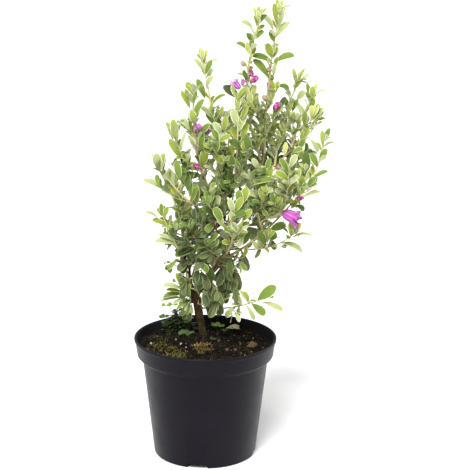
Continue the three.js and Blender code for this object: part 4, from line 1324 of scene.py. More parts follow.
def grow_mass(crown, stem, kind, own, slim, open_stem):
    """Grows a mass: its stem, its twigs and their leaves. A slim one stays near its stem."""
    chance = random.Random(SEEDS["masses"] + SEEDS["mass_step"] * own)
    crown.sideways = SLIM if slim else None
    crown.open = open_stem
    stem_slot = 2 if kind in (LEADER, SHOOT) else 1
    # Low, draped and hanging masses get brown stems: partly older wood, partly painted shade under the
    # crown.
    if kind in (LOW, DRAPED, HANGING):
        stem_slot = 0
    twigs = []
    count = max(1, round(stem.length * (kind["forked"] - kind["bare"]) / TWIG["every"]))
    turn = chance.uniform(0, 360)
    for k in range(count):
        at = lerp(kind["bare"], kind["forked"], (k + 0.5 * chance.random()) / count)
        length = kind["reach"] * lerp(1, TWIG["tip_share"], at) * chance.uniform(0.6, 1.25)
        for shorter in TWIG["shorter"]:
            twig = twig_line(stem, at, turn, length * shorter, kind["droop"], RODS["twig"])
            if crown.fits(twig.points[2:], own):
                twigs.append((twig, at))
                break
        turn += GOLDEN_ANGLE + chance.uniform(-TWIG["wander"], TWIG["wander"])
    crown.rods.append((stem.points, RODS["sprig" if kind == SPRIG else "stem"], stem_slot))
    crown.dress(stem, kind["bare"], kind["leaf"], kind["every"], kind, 0.6, own, chance)
    for twig, at in twigs:
        spray = at + chance.gauss(0, 0.2)
        crown.rods.append((twig.points, twig.radii, max(1, stem_slot)))
        size = kind["leaf"] * lerp(1, TWIG["size"], at)
        every = kind["every"] * TWIG["closer"]
        crown.dress(twig, TWIG["bare"], size, every, kind, spray, own, chance, 0.95)
        if twig.length < TWIGLET["from"]:
            continue
        side = chance.uniform(0, 360)
        count = int(twig.length / TWIGLET["every"])
        for k in range(count):
            spot = lerp(0.2, 0.8, k / count)
            length = TWIGLET["longest"] * chance.uniform(0.5, 1)
            twiglet = twig_line(twig, spot, side, length, kind["droop"], RODS["twiglet"])
            side += GOLDEN_ANGLE
            if crown.fits(twiglet.points[2:], own):
                crown.rods.append((twiglet.points, twiglet.radii, 2))
                every = kind["every"] * TWIGLET["closer"]
                crown.dress(twiglet, TWIGLET["bare"], size * TWIGLET["size"], every, kind, spray, own,
                            chance)


# Leaves that show plainly in the photo, by the mass that carries each one: where its root and
# its tip show, how much nearer to the viewer the tip is, its width in picture points, how far
# its face turns to the viewer, from 0 for edge-on to 1, and its colour
SHOWN_LEAVES = {
    "top_leader": [
        (277, 27, 274, 3, 2, 7, 0.8, "olive"), (279, 28, 283, 7, 3, 7, 0.8, "grey"),
        (283, 10, 292, 5, 1, 3, 0.5, "grey"), (278, 10, 277, -1, 0, 4, 0.6, "fresh"),
        (281, 10, 282, -1, 1, 4, 0.6, "young"), (279, 16, 279, 2, 3, 5, 0.7, "young"),
        (276, 39, 290, 22, 2, 8, 0.6, "grey"), (273, 31, 262, 14, 2, 7, 0.5, "grey"),
        (273, 43, 270, 30, 3, 7, 0.8, "green"), (272, 59, 267, 43, 4, 9, 0.9, "olive"),
        (272, 57, 274, 44, 2, 5, 0.6, "fresh"), (274, 65, 252, 56, 2, 9, 0.5, "green"),
        (275, 63, 294.5, 56, 3, 11, 0.5, "green"), (274, 68, 278, 57, 2, 5, 0.6, "green"),
        (273, 77, 276, 62, 3, 5, 0.7, "grey"), (270, 79, 253, 59.5, 3, 9, 0.6, "green"),
        (273, 98, 271, 80, 3, 8, 0.7, "olive"), (275, 94, 279, 81, 1, 6, 0.6, "fresh"),
        (275, 87, 289, 90, 3, 9, 0.4, "deep"), (279, 110, 286, 97, 1, 6, 0.6, "shade"),
        (272, 120, 284, 103, 3, 8, 0.6, "green"),
    ],
    "second_leader": [
        (257, 19, 254, 7, 1, 4, 0.7, "young"), (258, 18, 259, 6, 2, 4, 0.7, "fresh"),
        (259, 18, 263, 8, 1, 4, 0.7, "young"), (260, 17, 267, 8, 1, 3, 0.6, "fresh"),
        (258, 23, 258, 10, 4, 5, 0.8, "young"), (253, 30, 241, 22, 1, 8, 0.4, "grey"),
        (259, 27, 267, 15, 2, 6, 0.5, "deep"), (256, 39, 264, 31, 2, 7, 0.6, "green"),
        (251, 42, 247, 33, 2, 5, 0.7, "deep"), (251, 50, 252, 38, 3, 6, 0.8, "green"),
        (248, 52, 236, 43, 1, 7, 0.4, "green"), (249, 64, 252, 53, 2, 4, 0.7, "fresh"),
        (246, 82, 243, 70, 2, 5, 0.7, "deep"), (240, 99, 223, 86, 6, 10, 0.8, "shade"),
        (247, 112, 239, 97, 4, 8, 0.8, "grey"), (250, 108, 250, 92, 5, 7, 0.8, "young"),
        (253, 106, 258, 93, 4, 7, 0.8, "fresh"), (246, 100, 246, 86, 4, 6, 0.8, "young"),
        (252, 98, 256, 85, 5, 6, 0.8, "young"),
    ],
    "right_rear_shoot": [
        (297, 86, 293, 68, 1, 5, 0.7, "young"), (299, 83, 305, 68, 1, 4, 0.6, "fresh"),
        (300, 84, 311, 74, 2, 4, 0.4, "grey"), (296, 89, 301, 80, 3, 6, 0.7, "fresh"),
        (299, 84, 308, 84, 1, 4, 0.3, "grey"), (297, 100, 305, 91, 2, 8, 0.8, "grey"),
        (290, 112, 283, 97, 2, 6, 0.7, "green"), (288, 115, 292, 98, 3, 6, 0.8, "young"),
        (296, 101, 304, 119, 4, 8, 0.5, "grey"), (288, 126, 295, 112, 3, 7, 0.8, "fresh"),
        (292, 112, 298, 99, 2, 6, 0.7, "green"),
    ],
    "right_tall_shoot": [
        (309, 97, 307, 83, 2, 5, 0.6, "green"), (311, 98, 313, 86, 3, 8, 0.8, "fresh"),
        (314, 96, 317, 83, 1, 4, 0.7, "young"), (315, 96, 326, 90, 1, 3, 0.5, "grey"),
        (310, 100, 306, 92, 3, 6, 0.8, "green"), (315, 95, 311, 107, 4, 7, 0.7, "green"),
        (309, 102, 316, 94, 2, 5, 0.8, "fresh"), (305, 116, 309, 103, 2, 4, 0.7, "grey"),
        (300, 127, 297, 112, 3, 6, 0.8, "young"), (300, 135, 308, 124, 4, 8, 0.8, "olive"),
    ],
    "rear_centre_shoot": [
        (220, 120, 223, 106, 2, 5, 0.8, "young"), (219, 119, 217, 108, 2, 5, 0.8, "fresh"),
        (223, 122, 230, 111, 2, 6, 0.8, "grey"), (222, 130, 214, 117, 3, 9, 0.8, "deep"),
        (215, 107, 220, 109, 1, 3, 0.5, "green"),
    ],
    "rear_right_shoot": [
        (259, 123, 259, 105, 3, 7, 0.9, "green"), (274, 119, 273, 134, 3, 7, 0.9, "green"),
        (276, 137, 265, 135, 2, 5, 0.5, "deep"), (266, 125, 265, 110, 2, 6, 0.8, "olive"),
        (280, 130, 286, 149, 3, 7, 0.8, "green"), (270, 128, 280, 117, 1, 6, 0.6, "grey"),
    ],
    "right_outer_shoot": [
        (316, 113, 319, 104, 2, 5, 0.8, "green"), (311, 125, 326, 119, 2, 6, 0.4, "green"),
        (312, 118, 318, 104, 2, 7, 0.8, "young"), (314, 119, 323, 108, 1, 6, 0.7, "fresh"),
        (311, 119, 312, 105, 3, 6, 0.8, "young"), (304, 126, 305, 111, 3, 7, 0.8, "green"),
        (300, 141, 309, 128, 3, 9, 0.8, "olive"), (298, 151, 305, 138, 4, 7, 0.8, "green"),
        (303, 161, 298, 147, 4, 7, 0.8, "olive"), (309, 169, 303, 158, 3, 7, 0.8, "green"),
        (309, 138, 318, 152, 1, 7, 0.6, "grey"), (306, 176, 306, 151, 4, 10, 0.8, "deep"),
    ],
    "arm_end_shoot": [
        (323, 143, 330, 128, 1, 6, 0.7, "green"), (316, 167, 311, 153, 3, 8, 0.8, "green"),
        (323, 148, 322, 130, 2, 6, 0.8, "fresh"), (323, 147, 334, 142.5, 1, 4, 0.5, "grey"),
        (318, 161, 327, 149, 2, 8, 0.7, "green"), (312, 180, 328, 171, 2, 6, 0.6, "green"),
        (301, 199, 321, 192, 2, 6, 0.5, "grey"), (297, 208, 288, 200, 3, 7, 0.7, "green"),
        (291, 209, 298, 199, 4, 6, 0.8, "olive"), (304, 190, 318, 184, 2, 7, 0.6, "grey"),
        (306, 187, 316, 177, 3, 7, 0.7, "green"), (300, 192, 303, 176, 4, 8, 0.8, "olive"),
        (295, 205, 304, 211, 3, 7, 0.5, "deep"),
    ],
    "arm_flower_twig": [
        (291, 239, 312, 236, 2, 6, 0.3, "grey"), (279, 243, 302, 253, 3, 10, 0.4, "grey"),
        (290, 235, 291, 221, 3, 7, 0.8, "fresh"), (292, 234, 301, 223, 3, 7, 0.7, "young"),
        (262, 246, 269, 253, 2, 4, 0.5, "olive"),
    ],
    "arm_drooping_leaves": [
        (269, 230.5, 286.5, 224.5, 5, 10, 0.8, "green"), (289, 235, 277, 224, 2, 4, 0.5, "deep"),
        (251, 240, 259, 250, 4, 7, 0.7, "grey"), (256, 240, 263, 248, 3, 5, 0.6, "grey"),
        (270, 228, 274, 240, 6, 10, 0.9, "deep"), (271, 239, 275, 250, 5, 7, 0.9, "deep"),
    ],
    "left_tall_leader": [
        (202, 60, 200, 47, 1, 5, 0.8, "young"), (204, 60, 207, 50, 1, 5, 0.8, "young"),
        (203, 62, 203, 49, 3, 5, 0.8, "young"), (203, 72, 194, 59, 1, 6, 0.5, "grey"),
        (206, 75, 212, 60, 2, 7, 0.7, "green"), (209, 62, 218, 61, 1, 4, 0.4, "grey"),
        (206, 88, 213, 76, 2, 7, 0.6, "grey"), (205, 99, 197, 79, 2, 8, 0.7, "green"),
        (213, 107, 226, 95, 2, 7, 0.35, "green"), (212, 121, 200, 107, 3, 7, 0.5, "grey"),
        (214, 118, 211, 104, 2, 6, 0.8, "fresh"), (213, 125, 206, 112, 3, 7, 0.7, "green"),
    ],
    "left_leader": [
        (190, 109, 181, 91, 1, 7, 0.6, "olive"), (190, 101, 185, 89, 2, 5, 0.7, "olive"),
        (192, 103, 197, 92, 2, 5, 0.7, "green"), (193, 122, 204, 99, 2, 8, 0.5, "green"),
        (194, 125, 192, 110, 3, 8, 0.8, "fresh"), (192, 133, 180, 119, 2, 8, 0.5, "grey"),
        (201, 134, 209, 124, 4, 7, 0.8, "green"), (200, 148, 203, 134, 3, 7, 0.8, "green"),
        (202, 168, 206, 148, 5, 10, 0.8, "olive"),
    ],
    "left_outer_shoot": [
        (181, 161, 169, 139, 3, 9, 0.7, "olive"), (180, 153, 186, 132, 1, 4, 0.6, "grey"),
        (186, 168, 187, 151, 4, 10, 0.9, "deep"), (175, 143, 173, 119, 2, 9, 0.8, "fresh"),
        (175, 142, 180, 122, 1, 4, 0.6, "grey"), (173, 141, 166, 121, 1, 5, 0.6, "grey"),
    ],
    "far_left_shoot": [
        (160, 171, 156, 153, 3, 11, 0.9, "grey"), (161, 171, 164, 153, 1, 7, 0.7, "fresh"),
        (159, 170, 151, 154, 0, 4, 0.4, "grey"), (168, 193.5, 143, 180, 2, 8, 0.5, "grey"),
        (171, 191, 168, 171, 4, 10, 0.9, "deep"), (179, 206, 177, 190, 4, 11, 0.9, "green"),
    ],
    "left_side_shoot": [
        (180, 181, 176, 160, 3, 8, 0.8, "green"), (182, 184, 184, 167, 3, 8, 0.8, "deep"),
        (188, 192, 187, 171, 4, 8, 0.8, "deep"), (197, 205, 195, 183, 5, 9, 0.9, "olive"),
        (191, 196, 190, 180, 4, 6, 0.8, "green"),
    ],
    "low_left_shoot": [
        (162, 215, 161, 203, 2, 5, 0.8, "green"), (164, 218, 168, 207, 2, 6, 0.8, "olive"),
        (158, 219, 145, 212, 1, 5, 0.4, "grey"), (167, 228, 152, 220, 2, 7, 0.5, "olive"),
        (173, 240, 168, 220, 2, 9, 0.8, "green"), (174, 240, 176, 219, 3, 6, 0.7, "grey"),
        (178, 227, 179, 217, 2, 5, 0.8, "green"), (178, 245, 155, 241, 3, 8, 0.5, "grey"),
        (175, 242, 158, 235, 1, 5, 0.5, "grey"), (186, 216, 173, 209, 2, 6, 0.5, "olive"),
    ],
    "left_hanging_leaves": [
        (200, 249, 175, 256, 5, 10, 0.6, "deep"), (190, 258, 178, 271, 4, 9, 0.7, "painted_shade_olive"),
        (189, 263, 181, 273, 3, 8, 0.8, "shade"), (178, 260, 168, 269, 2, 6, 0.7, "green"),
        (187, 274, 182, 299, 4, 10, 0.9, "painted_shade_olive"),
    ],
    "left_front_leaves": [
        (196, 268, 200, 285, 6, 9, 0.9, "shade"), (198, 266, 195, 284, 3, 8, 0.9, "shade"),
        (202, 270, 199, 290, 2, 9, 0.9, "shade"), (196, 276, 197, 292, 2, 6, 0.9, "painted_shade_olive"),
        (203, 272, 208, 290, 6, 9, 0.8, "painted_shade_olive"), (199, 278, 203, 293, 6, 8, 0.8, "shade"),
        (208, 280, 203, 293, 5, 8, 0.8, "shade"), (205, 288, 209, 302, 5, 7, 0.8, "painted_shade_olive"),
        (198, 262, 208, 272, 5, 8, 0.7, "green"), (205, 262, 194, 270, 4, 7, 0.7, "painted_shade_olive"),
    ],
    "left_foot_leaves": [
        (181, 287, 176, 273, 1, 6, 0.7, "olive"), (182, 290, 163, 285, 2, 7, 0.5, "grey"),
        (183, 293, 166, 290, 1, 5, 0.5, "olive"), (186, 296, 163, 298, 2, 8, 0.4, "green"),
        (185, 299, 160, 302, 1, 6, 0.4, "grey"), (189, 299, 183, 311, 4, 5, 0.8, "grey"),
        (190, 302, 187, 315, 5, 5, 0.8, "green"), (191, 300, 179, 306, 3, 7, 0.6, "deep"),
        (191, 303, 192, 314, 4, 4, 0.8, "grey"), (190, 300, 177, 309, 5, 5, 0.6, "green"),
        (189, 303, 181, 316, 5, 6, 0.8, "painted_shade_olive"), (190, 299, 173, 304, 3, 5, 0.5, "grey"),
        (190, 306, 189, 321, 4, 6, 0.9, "shade"), (189, 304, 184, 320, 2, 6, 0.8, "painted_shade_olive"),
    ],
    "foot_sprig": [
        (257, 300, 276, 286, 3, 13, 0.9, "green"), (259, 301, 274, 297, 1, 7, 0.5, "grey"),
        (251, 302, 265, 315, 4, 10, 0.8, "green"), (261, 302, 283, 311, 2, 8, 0.6, "grey"),
        (246, 305, 254, 320, 2, 6, 0.6, "grey"), (242, 304, 234, 294, 2, 6, 0.6, "grey"),
        (248, 302, 239, 290, 1, 5, 0.5, "grey"), (239, 305, 238, 317, 2, 5, 0.7, "green"),
        (243, 304, 231, 305, 2, 5, 0.5, "grey"), (236, 306, 229, 313, 2, 5, 0.6, "grey"),
        (234, 307, 226, 317, 2, 7, 0.7, "grey"),
    ],
    "centre_inner_shoot": [
        (216, 151, 230, 147, 4, 7, 0.5, "green"), (218, 142, 212, 130, 3, 7, 0.7, "green"),
        (221, 146, 222, 132, 3, 6, 0.7, "grey"), (216, 152, 203, 149, 5, 10, 0.7, "deep"),
        (227, 190, 226, 170, 6, 8, 0.9, "olive"), (217, 175, 212, 185, 2, 6, 0.8, "deep"),
        (226, 190, 231, 198, 3, 6, 0.7, "shade"), (229, 212, 225, 199, 5, 10, 0.9, "green"),
        (219, 197, 210, 190, 3, 7, 0.7, "fresh"), (222, 136, 213, 122, 3, 7, 0.7, "grey"),
        (224, 132, 226, 116, 3, 7, 0.8, "olive"), (222, 165, 214, 156, 3, 7, 0.6, "olive"),
        (224, 178, 218, 165, 4, 6, 0.7, "deep"),
    ],
    "front_leader": [
        (236, 128, 232, 108, 3, 8, 0.8, "grey"), (237, 133, 246, 112, 3, 8, 0.8, "grey"),
        (236, 112, 238, 95, 3, 7, 0.8, "fresh"), (240, 148, 230, 140, 3, 9, 0.8, "deep"),
        (245, 131, 249, 151, 4, 9, 0.9, "deep"), (238, 165, 228, 154, 3, 6, 0.7, "grey"),
        (241, 167, 250, 154, 3, 6, 0.6, "grey"), (230, 177, 225, 165, 4, 6, 0.8, "fresh"),
        (239, 172, 237, 157, 3, 6, 0.8, "olive"), (238, 184, 229, 177, 4, 7, 0.6, "green"),
        (237, 188, 248, 180, 4, 8, 0.7, "grey"), (242, 128, 236, 117, 3, 5, 0.7, "fresh"),
        (241, 121, 248, 106, 3, 6, 0.7, "olive"), (241, 140, 248, 123, 2, 8, 0.8, "olive"),
        (240, 146, 250, 133, 3, 7, 0.8, "green"),
    ],
    "arm_inner_shoot": [
        (270, 176, 251, 175, 6, 9, 0.3, "deep"), (280, 181, 252, 184, 5, 9, 0.5, "green"),
        (266, 206, 249, 203, 5, 10, 0.6, "deep"), (281, 200, 277, 186, 4, 9, 0.8, "deep"),
        (283, 203, 290, 187, 4, 9, 0.8, "grey"), (284, 206, 288, 195, 5, 6, 0.8, "fresh"),
        (258, 196, 268, 186, 5, 8, 0.7, "olive"), (259, 170, 252, 158, 4, 6, 0.8, "grey"),
        (260, 200, 247, 192, 4, 8, 0.5, "grey"), (263, 216, 255, 209, 4, 7, 0.6, "green"),
        (264, 219, 274, 209, 5, 6, 0.6, "olive"), (266, 172, 270, 158, 3, 6, 0.8, "green"),
        (268, 182, 271, 165, 2, 8, 0.8, "olive"), (262, 180, 265, 167, 2, 7, 0.8, "deep"),
    ],
    "arm_front_shoot": [
        (292, 153, 303, 149, 2, 7, 0.6, "green"), (296, 181, 300, 168, 3, 6, 0.8, "fresh"),
        (290, 186, 295, 170, 3, 7, 0.8, "olive"), (284, 157, 286, 142, 2, 5, 0.8, "young"),
        (288, 172, 280, 158, 4, 7, 0.8, "green"), (290, 168, 297, 154, 3, 7, 0.7, "grey"),
        (287, 182, 275, 172, 4, 8, 0.6, "olive"),
    ],
    "centre_front_shoot": [
        (230, 219, 246, 213, 6, 10, 0.6, "deep"), (239, 229, 250, 223, 5, 7, 0.7, "green"),
        (222, 222, 214, 207, 6, 9, 0.8, "green"), (223, 227, 217, 213, 6, 7, 0.8, "fresh"),
        (235, 212, 243, 197, 5, 8, 0.8, "olive"), (234, 214, 229, 198, 5, 7, 0.8, "grey"),
        (242, 222, 252, 209, 4, 7, 0.8, "olive"), (236, 234, 224, 229, 5, 8, 0.6, "green"),
        (240, 246, 232, 236, 4, 8, 0.6, "green"), (243, 245, 250, 232, 4, 8, 0.7, "deep"),
        (238, 240, 246, 231, 3, 7, 0.7, "olive"), (244, 237, 238, 247, 3, 6, 0.7, "grey"),
        (241, 207, 238, 190, 2, 9, 0.8, "green"), (242, 205, 247, 187, 1, 9, 0.8, "olive"),
        (237, 212, 235, 200, 3, 7, 0.8, "deep"), (240, 216, 244, 203, 2, 8, 0.8, "deep"),
    ],
    "front_low_shoot": [
        (214, 203, 204, 192, 4, 8, 0.7, "green"), (212, 215, 202, 207, 4, 8, 0.6, "deep"),
        (213, 222, 206, 232, 4, 8, 0.8, "green"), (215, 210, 219, 195, 4, 7, 0.8, "grey"),
    ],
    "right_hanging_leaves": [
        (230, 261, 239, 291, 8, 12, 0.9, "painted_shade_olive"), (233, 260, 230, 294, 3, 12, 0.9, "deep"),
        (240, 248, 248, 271, 1, 7, 0.6, "painted_shade_olive"), (221, 270, 226, 304, 7, 11, 0.9, "painted_shade_olive"),
    ],
    "front_hanging_leaves": [
        (213, 284, 220, 316, 7, 11, 0.9, "shade"), (206, 290, 211, 318, 6, 8, 0.9, "shade"),
        (211, 274, 208, 296, 8, 9, 0.9, "painted_shade_olive"), (214, 290, 212, 312, 3, 8, 0.9, "shade"),
        (206, 262, 213, 281, 9, 9, 0.9, "deep"),
    ],
}
# The dark tops take the dark underside and rim; in the shade tones these are painted shade too.
UNDER_TONES = {"shade": "dark", "painted_shade_olive": "dark", "deep": "dark", "fresh": "pale", "young": "pale"}
RIM_HIGHLIGHT_TONES = {**UNDER_TONES, "grey": "pale"}
# How a placed leaf bends, how far off its stem it may root without a twig, and how that twig sags
PLACED = {"curl": (0.6, 1.7), "fold": 0.42, "twist": 0.1, "snap": 2.0, "lower": 0.8, "sag": 0.08}
# A picture point in mm, and the steps in which a limb is searched
POINT_SIZE = 1.2
SAMPLES = 80
# Thin twigs that cross in front of the trunk's fork, each by the limb that carries it, four bends
# as a picture position and how much nearer than the limb, its radii and its material's slot
CROSSING_TWIGS = [
    ("left_bough", [(190, 279, 0), (190.5, 288, 18), (197, 290, 19), (201, 298, 12)], (0.8, 0.6), 1),
    ("trunk", [(199, 296, 0), (198, 304, 8), (204, 305, 9), (206, 299, 6)], (0.8, 0.5), 1),
]


def sighted_on(samples, across, down):
    """The sample of a limb nearest to what shows at a picture position, and that place."""
    depth = samples[:, 1].mean()
    for _ in range(3):
        root = sighted(across, down, depth)
        nearest = int(np.argmin(np.linalg.norm(samples - root, axis=1)))
        depth = samples[nearest, 1]
    return nearest, depth, sighted(across, down, depth)


def samples_of(limb):
    return np.array([limb.at(share) for share in np.linspace(0, 1, SAMPLES + 1)])


def crossing_twig(limb, bends, radii, slot):
    _, depth, _ = sighted_on(samples_of(limb), *bends[0][:2])
    line = Line([sighted(across, down, depth - nearer) for across, down, nearer in bends], radii)
    return line.points, line.radii, slot


def shown_leaf(crown, stem, row, own):
    """A leaf placed by its root and tip in the picture, on its own twig where it needs one."""
    across, down, tip_across, tip_down, nearer, wide, turned, tone = row
    samples = samples_of(stem)
    nearest, depth, root = sighted_on(samples, across, down)
    gap = np.linalg.norm(root - samples[nearest])
    if gap > PLACED["snap"]:
        lower = samples[max(0, nearest - int(PLACED["lower"] * gap / stem.length * SAMPLES))]
        middle = (lower + root) / 2 - UP * PLACED["sag"] * gap
        line = Line([lower, (lower + 2 * middle) / 3, (root + 2 * middle) / 3, root], RODS["leaf_twig"])
        crown.rods.append((line.points, line.radii, 2))
    else:
        root = samples[nearest]
    tip = sighted(tip_across, tip_down, depth - nearer)
    chord = tip - root
    length = np.linalg.norm(chord)
    way = chord / length
    face = lerp(UP, TOWARDS_VIEWER, turned)
    face = unit(face - way * (face @ way))
    curl = lerp(PLACED["curl"][1], PLACED["curl"][0], turned)
    lean = curl / 2
    start = way * math.cos(lean) + face * math.sin(lean)
    up_face = face * math.cos(lean) - way * math.sin(lean)
    crown.leaves.append(blade(root, start, length * lean / math.sin(lean), wide * POINT_SIZE, up_face,
                              fold=PLACED["fold"], curl=curl, twist=PLACED["twist"], tone=tone, own=own))
    crown.take(root + chord * LEAF["middle"])


def make_crown(limbs):
    stems = {name: make_limb(row, STEM_RADII, limbs) for name, row in MASSES.items()}
    crown = Crown(limbs, stems)
    for own, name in enumerate(MASSES):
        for row in SHOWN_LEAVES.get(name, []):
            shown_leaf(crown, stems[name], row, own)
    add_flowers(crown, stems)
    for own, (name, row) in enumerate(MASSES.items()):
        grow_mass(crown, stems[name], row[4], own, name in SHOWN_LEAVES, name in OPEN_MASSES)
    rods = list(crown.rods)
    for name, row in MASSES.items():
        start = limbs[row[0]].at(row[1])
        rods.append((np.vstack([start, stems[name].points[:2]]), RODS["joint"], 0))
    for name, bends, radii, slot in CROSSING_TWIGS:
        rods.append(crossing_twig(limbs[name], bends, radii, slot))
    twigs = make_rods("twigs", rods, [TWIG_BROWN, TWIG_TAN, TWIG_GREEN], 1)
    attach(twigs, "root")
    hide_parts(*MASSES)
    shades = {**LEAF_TOPS, **{"under " + tone: shade for tone, shade in LEAF_UNDERS.items()},
              **{"rim " + tone: shade for tone, shade in LEAF_RIMS_AND_HIGHLIGHTS.items()}}
    materials, places = list(shades.values()), list(shades)

    def slot_of(leaf, kind):
        tone = leaf["tone"]
        # Rim faces take the paler margin colour, partly painted highlight.
        if kind == RIM:
            return places.index("rim " + RIM_HIGHLIGHT_TONES.get(tone, "dull"))
        if kind == TOP:
            return places.index(tone)
        return places.index("under " + UNDER_TONES.get(tone, "grey"))

    names, half = list(MASSES), len(MASSES) // 2
    for name, start, end in (("upper_leaves", 0, half), ("lower_leaves", half, len(names))):
        group = [leaf for leaf in crown.leaves if start <= leaf["own"] < end]
        leaves = blades_piece(name, group, "leaf", materials, slot_of)
        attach(leaves, "root")
        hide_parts(*names[start:end])


# Flowers

# Each by its mass, its middle in the picture, how much nearer than its stem, the way it faces
# as heading and rise in degrees, and its size
BLOOMS = [
    ("arm_flower_twig", 291.5, 216.5, 8, -22, -20, 1.05),
    ("second_leader", 236, 84.5, 4, 182, 48, 0.6),
    ("second_leader", 243, 82, 4, 10, 70, 0.35),
    ("left_leader", 198, 127, 3, 190, 8, 0.46),
    ("left_leader", 207, 130, -1, -60, -40, 0.46),
]
BUDS = [
    ("second_leader", 253.5, 80, 5, -12, 38, 1.25),
    ("second_leader", 251.5, 74, 4, 100, 60, 0.9),
    ("top_leader", 276, 107, 4, 8, 50, 1.25),
    ("top_leader", 269.5, 86, 2, 150, 70, 0.9),
    ("arm_end_shoot", 299.5, 198, 4, -10, 15, 1.05),
    ("left_leader", 197, 167, 18, 150, 45, 1.05),
]
SPENT = [
    ("top_leader", 269.5, 70.5, 3, 130, 60, 1.1),
    ("top_leader", 265.5, 99, 5, 140, 50, 1.3),
    ("second_leader", 243.5, 64.5, 2, 180, 40, 1.0),
    ("second_leader", 250, 62, 2, 60, 50, 0.7),
    ("right_rear_shoot", 278, 168, 4, 60, 50, 0.8),
    ("centre_inner_shoot", 243, 173, 4, 30, 50, 0.8),
]
# A bloom's section, how its lobes part, ruffle and dip, and how far out its streaks show
BLOOM = {"rings": [(1.5, 0), (4.0, 1.4), (5.4, 3.8), (6.2, 7.0), (6.6, 10.4), (7.0, 13.4), (8.0, 15.8),
                   (9.2, 17.6), (10.0, 18.8), (10.5, 19.5)],
         "sides": 40, "lobes": 5, "throat": 6.6, "notch": 0.26, "parting": 3.4, "ruffle": 1.7,
         "ruffles": 9, "lip": 1.2, "thickness": 0.3, "streaks": 10, "streak_level": 0.7, "streaked": 10}
BUD_RINGS = [(0.8, 0), (1.7, 0.9), (2.5, 2.3), (3.0, 4.2), (2.9, 6.0), (2.3, 7.5), (1.3, 8.6), (0.3, 9.1)]
BUD_FOLDS = {"count": 3, "depth": 0.17, "twist": 0.4, "level": 0.25, "sides": 24}
# The rows of each kind, its shape, how deep its foot lies under its middle, its first material, its
# size and how far its sepals spread
FLOWERS = [
    (BLOOMS, "bloom", 11, 0, 1, 0.55),
    (BUDS, "bud", 3.6, 8, 1, 0.55),
    (SPENT, "bud", 2.5, 10, 0.75, 1.1),
]
# Inside and outside of a bloom, the same of a pale one, a bud and a spent flower
FLOWER_MATERIALS = [PETAL, PETAL_STREAK, PETAL, PETAL_THROAT, PETAL_PALE, PETAL, PETAL_PALE, PETAL_THROAT,
                    BUD_SKIN, BUD_FOLD_HIGHLIGHT, CALYX_SPENT, CALYX]
# Blooms smaller than this are pale
PALE_BELOW = 0.7
SEPAL = {"count": 5, "turn": 20, "sunk": 0.3, "length": 4.2, "width": 1.7, "curl": (0.2, 0.8)}
STALK = {"back": 4, "bend": 0.4, "runs": 5}


def template(piece):
    """A modelled piece's points, faces and slots, and the piece is taken away."""
    points = points_of(piece)
    faces = [tuple(face.vertices) for face in piece.data.polygons]
    slots = [face.material_index for face in piece.data.polygons]
    bpy.data.objects.remove(piece)
    return points, faces, slots


def bloom_template():
    """A bell drawn out ring by ring, parted into ruffled lobes and given its thickness."""
    draw_rings(BLOOM["rings"], BLOOM["sides"], "NOTHING")
    bpy.ops.object.mode_set(mode="OBJECT")
    bloom = bpy.context.active_object
    points = points_of(bloom)
    angle = np.arctan2(points[:, 1], points[:, 0])
    away = np.hypot(points[:, 0], points[:, 1])
    mouth = BLOOM["rings"][-1][0]
    open_share = np.clip((away - BLOOM["throat"]) / (mouth - BLOOM["throat"]), 0, 1)
    lobe = np.abs(np.cos(angle * BLOOM["lobes"] / 2)) ** 0.6
    shorter = 1 - BLOOM["notch"] * (1 - lobe) * open_share ** 1.5
    points[:, :2] *= shorter[:, None]
    points[:, 2] += BLOOM["ruffle"] * open_share * np.sin(BLOOM["ruffles"] * angle + 2 * open_share)
    points[:, 2] -= BLOOM["parting"] * open_share * (1 - lobe)
    points[:, 2] -= BLOOM["lip"] * open_share * np.sin(angle)
    set_points(bloom, points)
    paint(bloom, *FLOWER_MATERIALS[:4])
    for face in bloom.data.polygons:
        x, y, _ = face.center / MM
        streak = math.sin(BLOOM["streaks"] * math.atan2(y, x)) > BLOOM["streak_level"]
        face.material_index = int(streak and math.hypot(x, y) < BLOOM["streaked"])
    select_only(bloom)
    bpy.ops.object.mode_set(mode="EDIT")
    bpy.ops.mesh.select_all(action="SELECT")
    bpy.ops.mesh.flip_normals()
    bpy.ops.object.mode_set(mode="OBJECT")
    apply_modifier(bloom, "SOLIDIFY", thickness=BLOOM["thickness"] * MM, offset=0, material_offset=2)
    return template(bloom)


def bud_template():
    """A bud with folded petals that wind round it."""
    bud = ring_body("bud", BUD_RINGS, BUD_FOLDS["sides"])
    points = points_of(bud)
    angle = np.arctan2(points[:, 1], points[:, 0]) + BUD_FOLDS["twist"] * points[:, 2]
    points[:, :2] *= (1 + BUD_FOLDS["depth"] * np.cos(BUD_FOLDS["count"] * angle))[:, None]
    set_points(bud, points)
    for face in bud.data.polygons:
        x, y, z = face.center / MM
        fold = math.cos(BUD_FOLDS["count"] * (math.atan2(y, x) + BUD_FOLDS["twist"] * z))
        # The fold crests take the paler pink, partly painted highlight.
        face.material_index = int(fold > BUD_FOLDS["level"])
    return template(bud)


def turned_to(heading, rise):
    """A rotation that sets +Z to a heading and a rise in degrees."""
    heading, rise = math.radians(heading), math.radians(rise)
    flat = math.cos(rise)
    way = np.array([flat * math.cos(heading), flat * math.sin(heading), math.sin(rise)])
    side = unit(np.cross(UP, way))
    return np.stack([side, np.cross(way, side), way], 1)


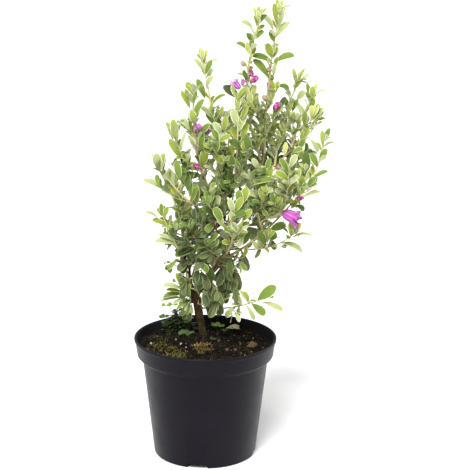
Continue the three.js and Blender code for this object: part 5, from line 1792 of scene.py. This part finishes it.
def flower_stand(crown, stem, row, depth):
    """The turn and foot of a flower, with a stalk from its stem."""
    _, across, down, nearer, heading, rise, size = row
    samples = samples_of(stem)
    level = samples[:, 1].mean()
    for _ in range(3):
        middle = sighted(across, down, level - nearer)
        level = samples[int(np.argmin(np.linalg.norm(samples - middle, axis=1))), 1]
    turn = turned_to(heading, rise)
    foot = middle - turn[:, 2] * depth * size
    nearest = int(np.argmin(np.linalg.norm(samples - foot, axis=1)))
    start = samples[max(0, nearest - STALK["back"])]
    bend = foot - turn[:, 2] * STALK["bend"] * np.linalg.norm(foot - start)
    crown.rods.append((curved(start, bend, foot, STALK["runs"]), RODS["stalk"], 2))
    crown.take(middle)
    return turn, foot


def add_flowers(crown, stems):
    """Blooms, buds and spent flowers, each on its stalk with five sepals."""
    chance = random.Random(SEEDS["flowers"])
    shapes = {"bloom": bloom_template(), "bud": bud_template()}
    points, faces, slots, sepals = [], [], [], []
    count = 0
    for rows, shape, depth, first_slot, share, spread in FLOWERS:
        form, form_faces, form_slots = shapes[shape]
        for row in rows:
            size = row[-1]
            turn, foot = flower_stand(crown, stems[row[0]], row, depth)
            points.append(form * size * share @ turn.T + foot)
            faces += [tuple(corner + count for corner in face) for face in form_faces]
            paler = 4 if shape == "bloom" and size < PALE_BELOW else 0
            slots += [slot + first_slot + paler for slot in form_slots]
            count += len(form)
            for k in range(SEPAL["count"]):
                angle = math.radians(360 / SEPAL["count"] * k + SEPAL["turn"])
                out = turn[:, 0] * math.cos(angle) + turn[:, 1] * math.sin(angle)
                root = foot - turn[:, 2] * SEPAL["sunk"]
                sepals.append(blade(root, turn[:, 2] + spread * out, SEPAL["length"] * size,
                                    SEPAL["width"] * size, -out, curl=chance.uniform(*SEPAL["curl"]),
                                    spent=int(rows is SPENT)))
    flowers = new_piece("flowers", np.vstack(points), faces, FLOWER_MATERIALS, slots)
    smooth(flowers, 60)
    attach(flowers, "root")
    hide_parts(*dict.fromkeys(row[0] for row in BLOOMS + BUDS + SPENT))
    cups = blades_piece("sepals", sepals, "leaf", [CALYX, CALYX_SPENT], lambda b, kind: b["spent"])
    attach(cups, "root")


add_camera()
add_stage()
make_pot()
make_soil()
make_crumbs()
make_moss()
make_weeds()
limbs = all_limbs()
make_bark(limbs)
make_crown(limbs)
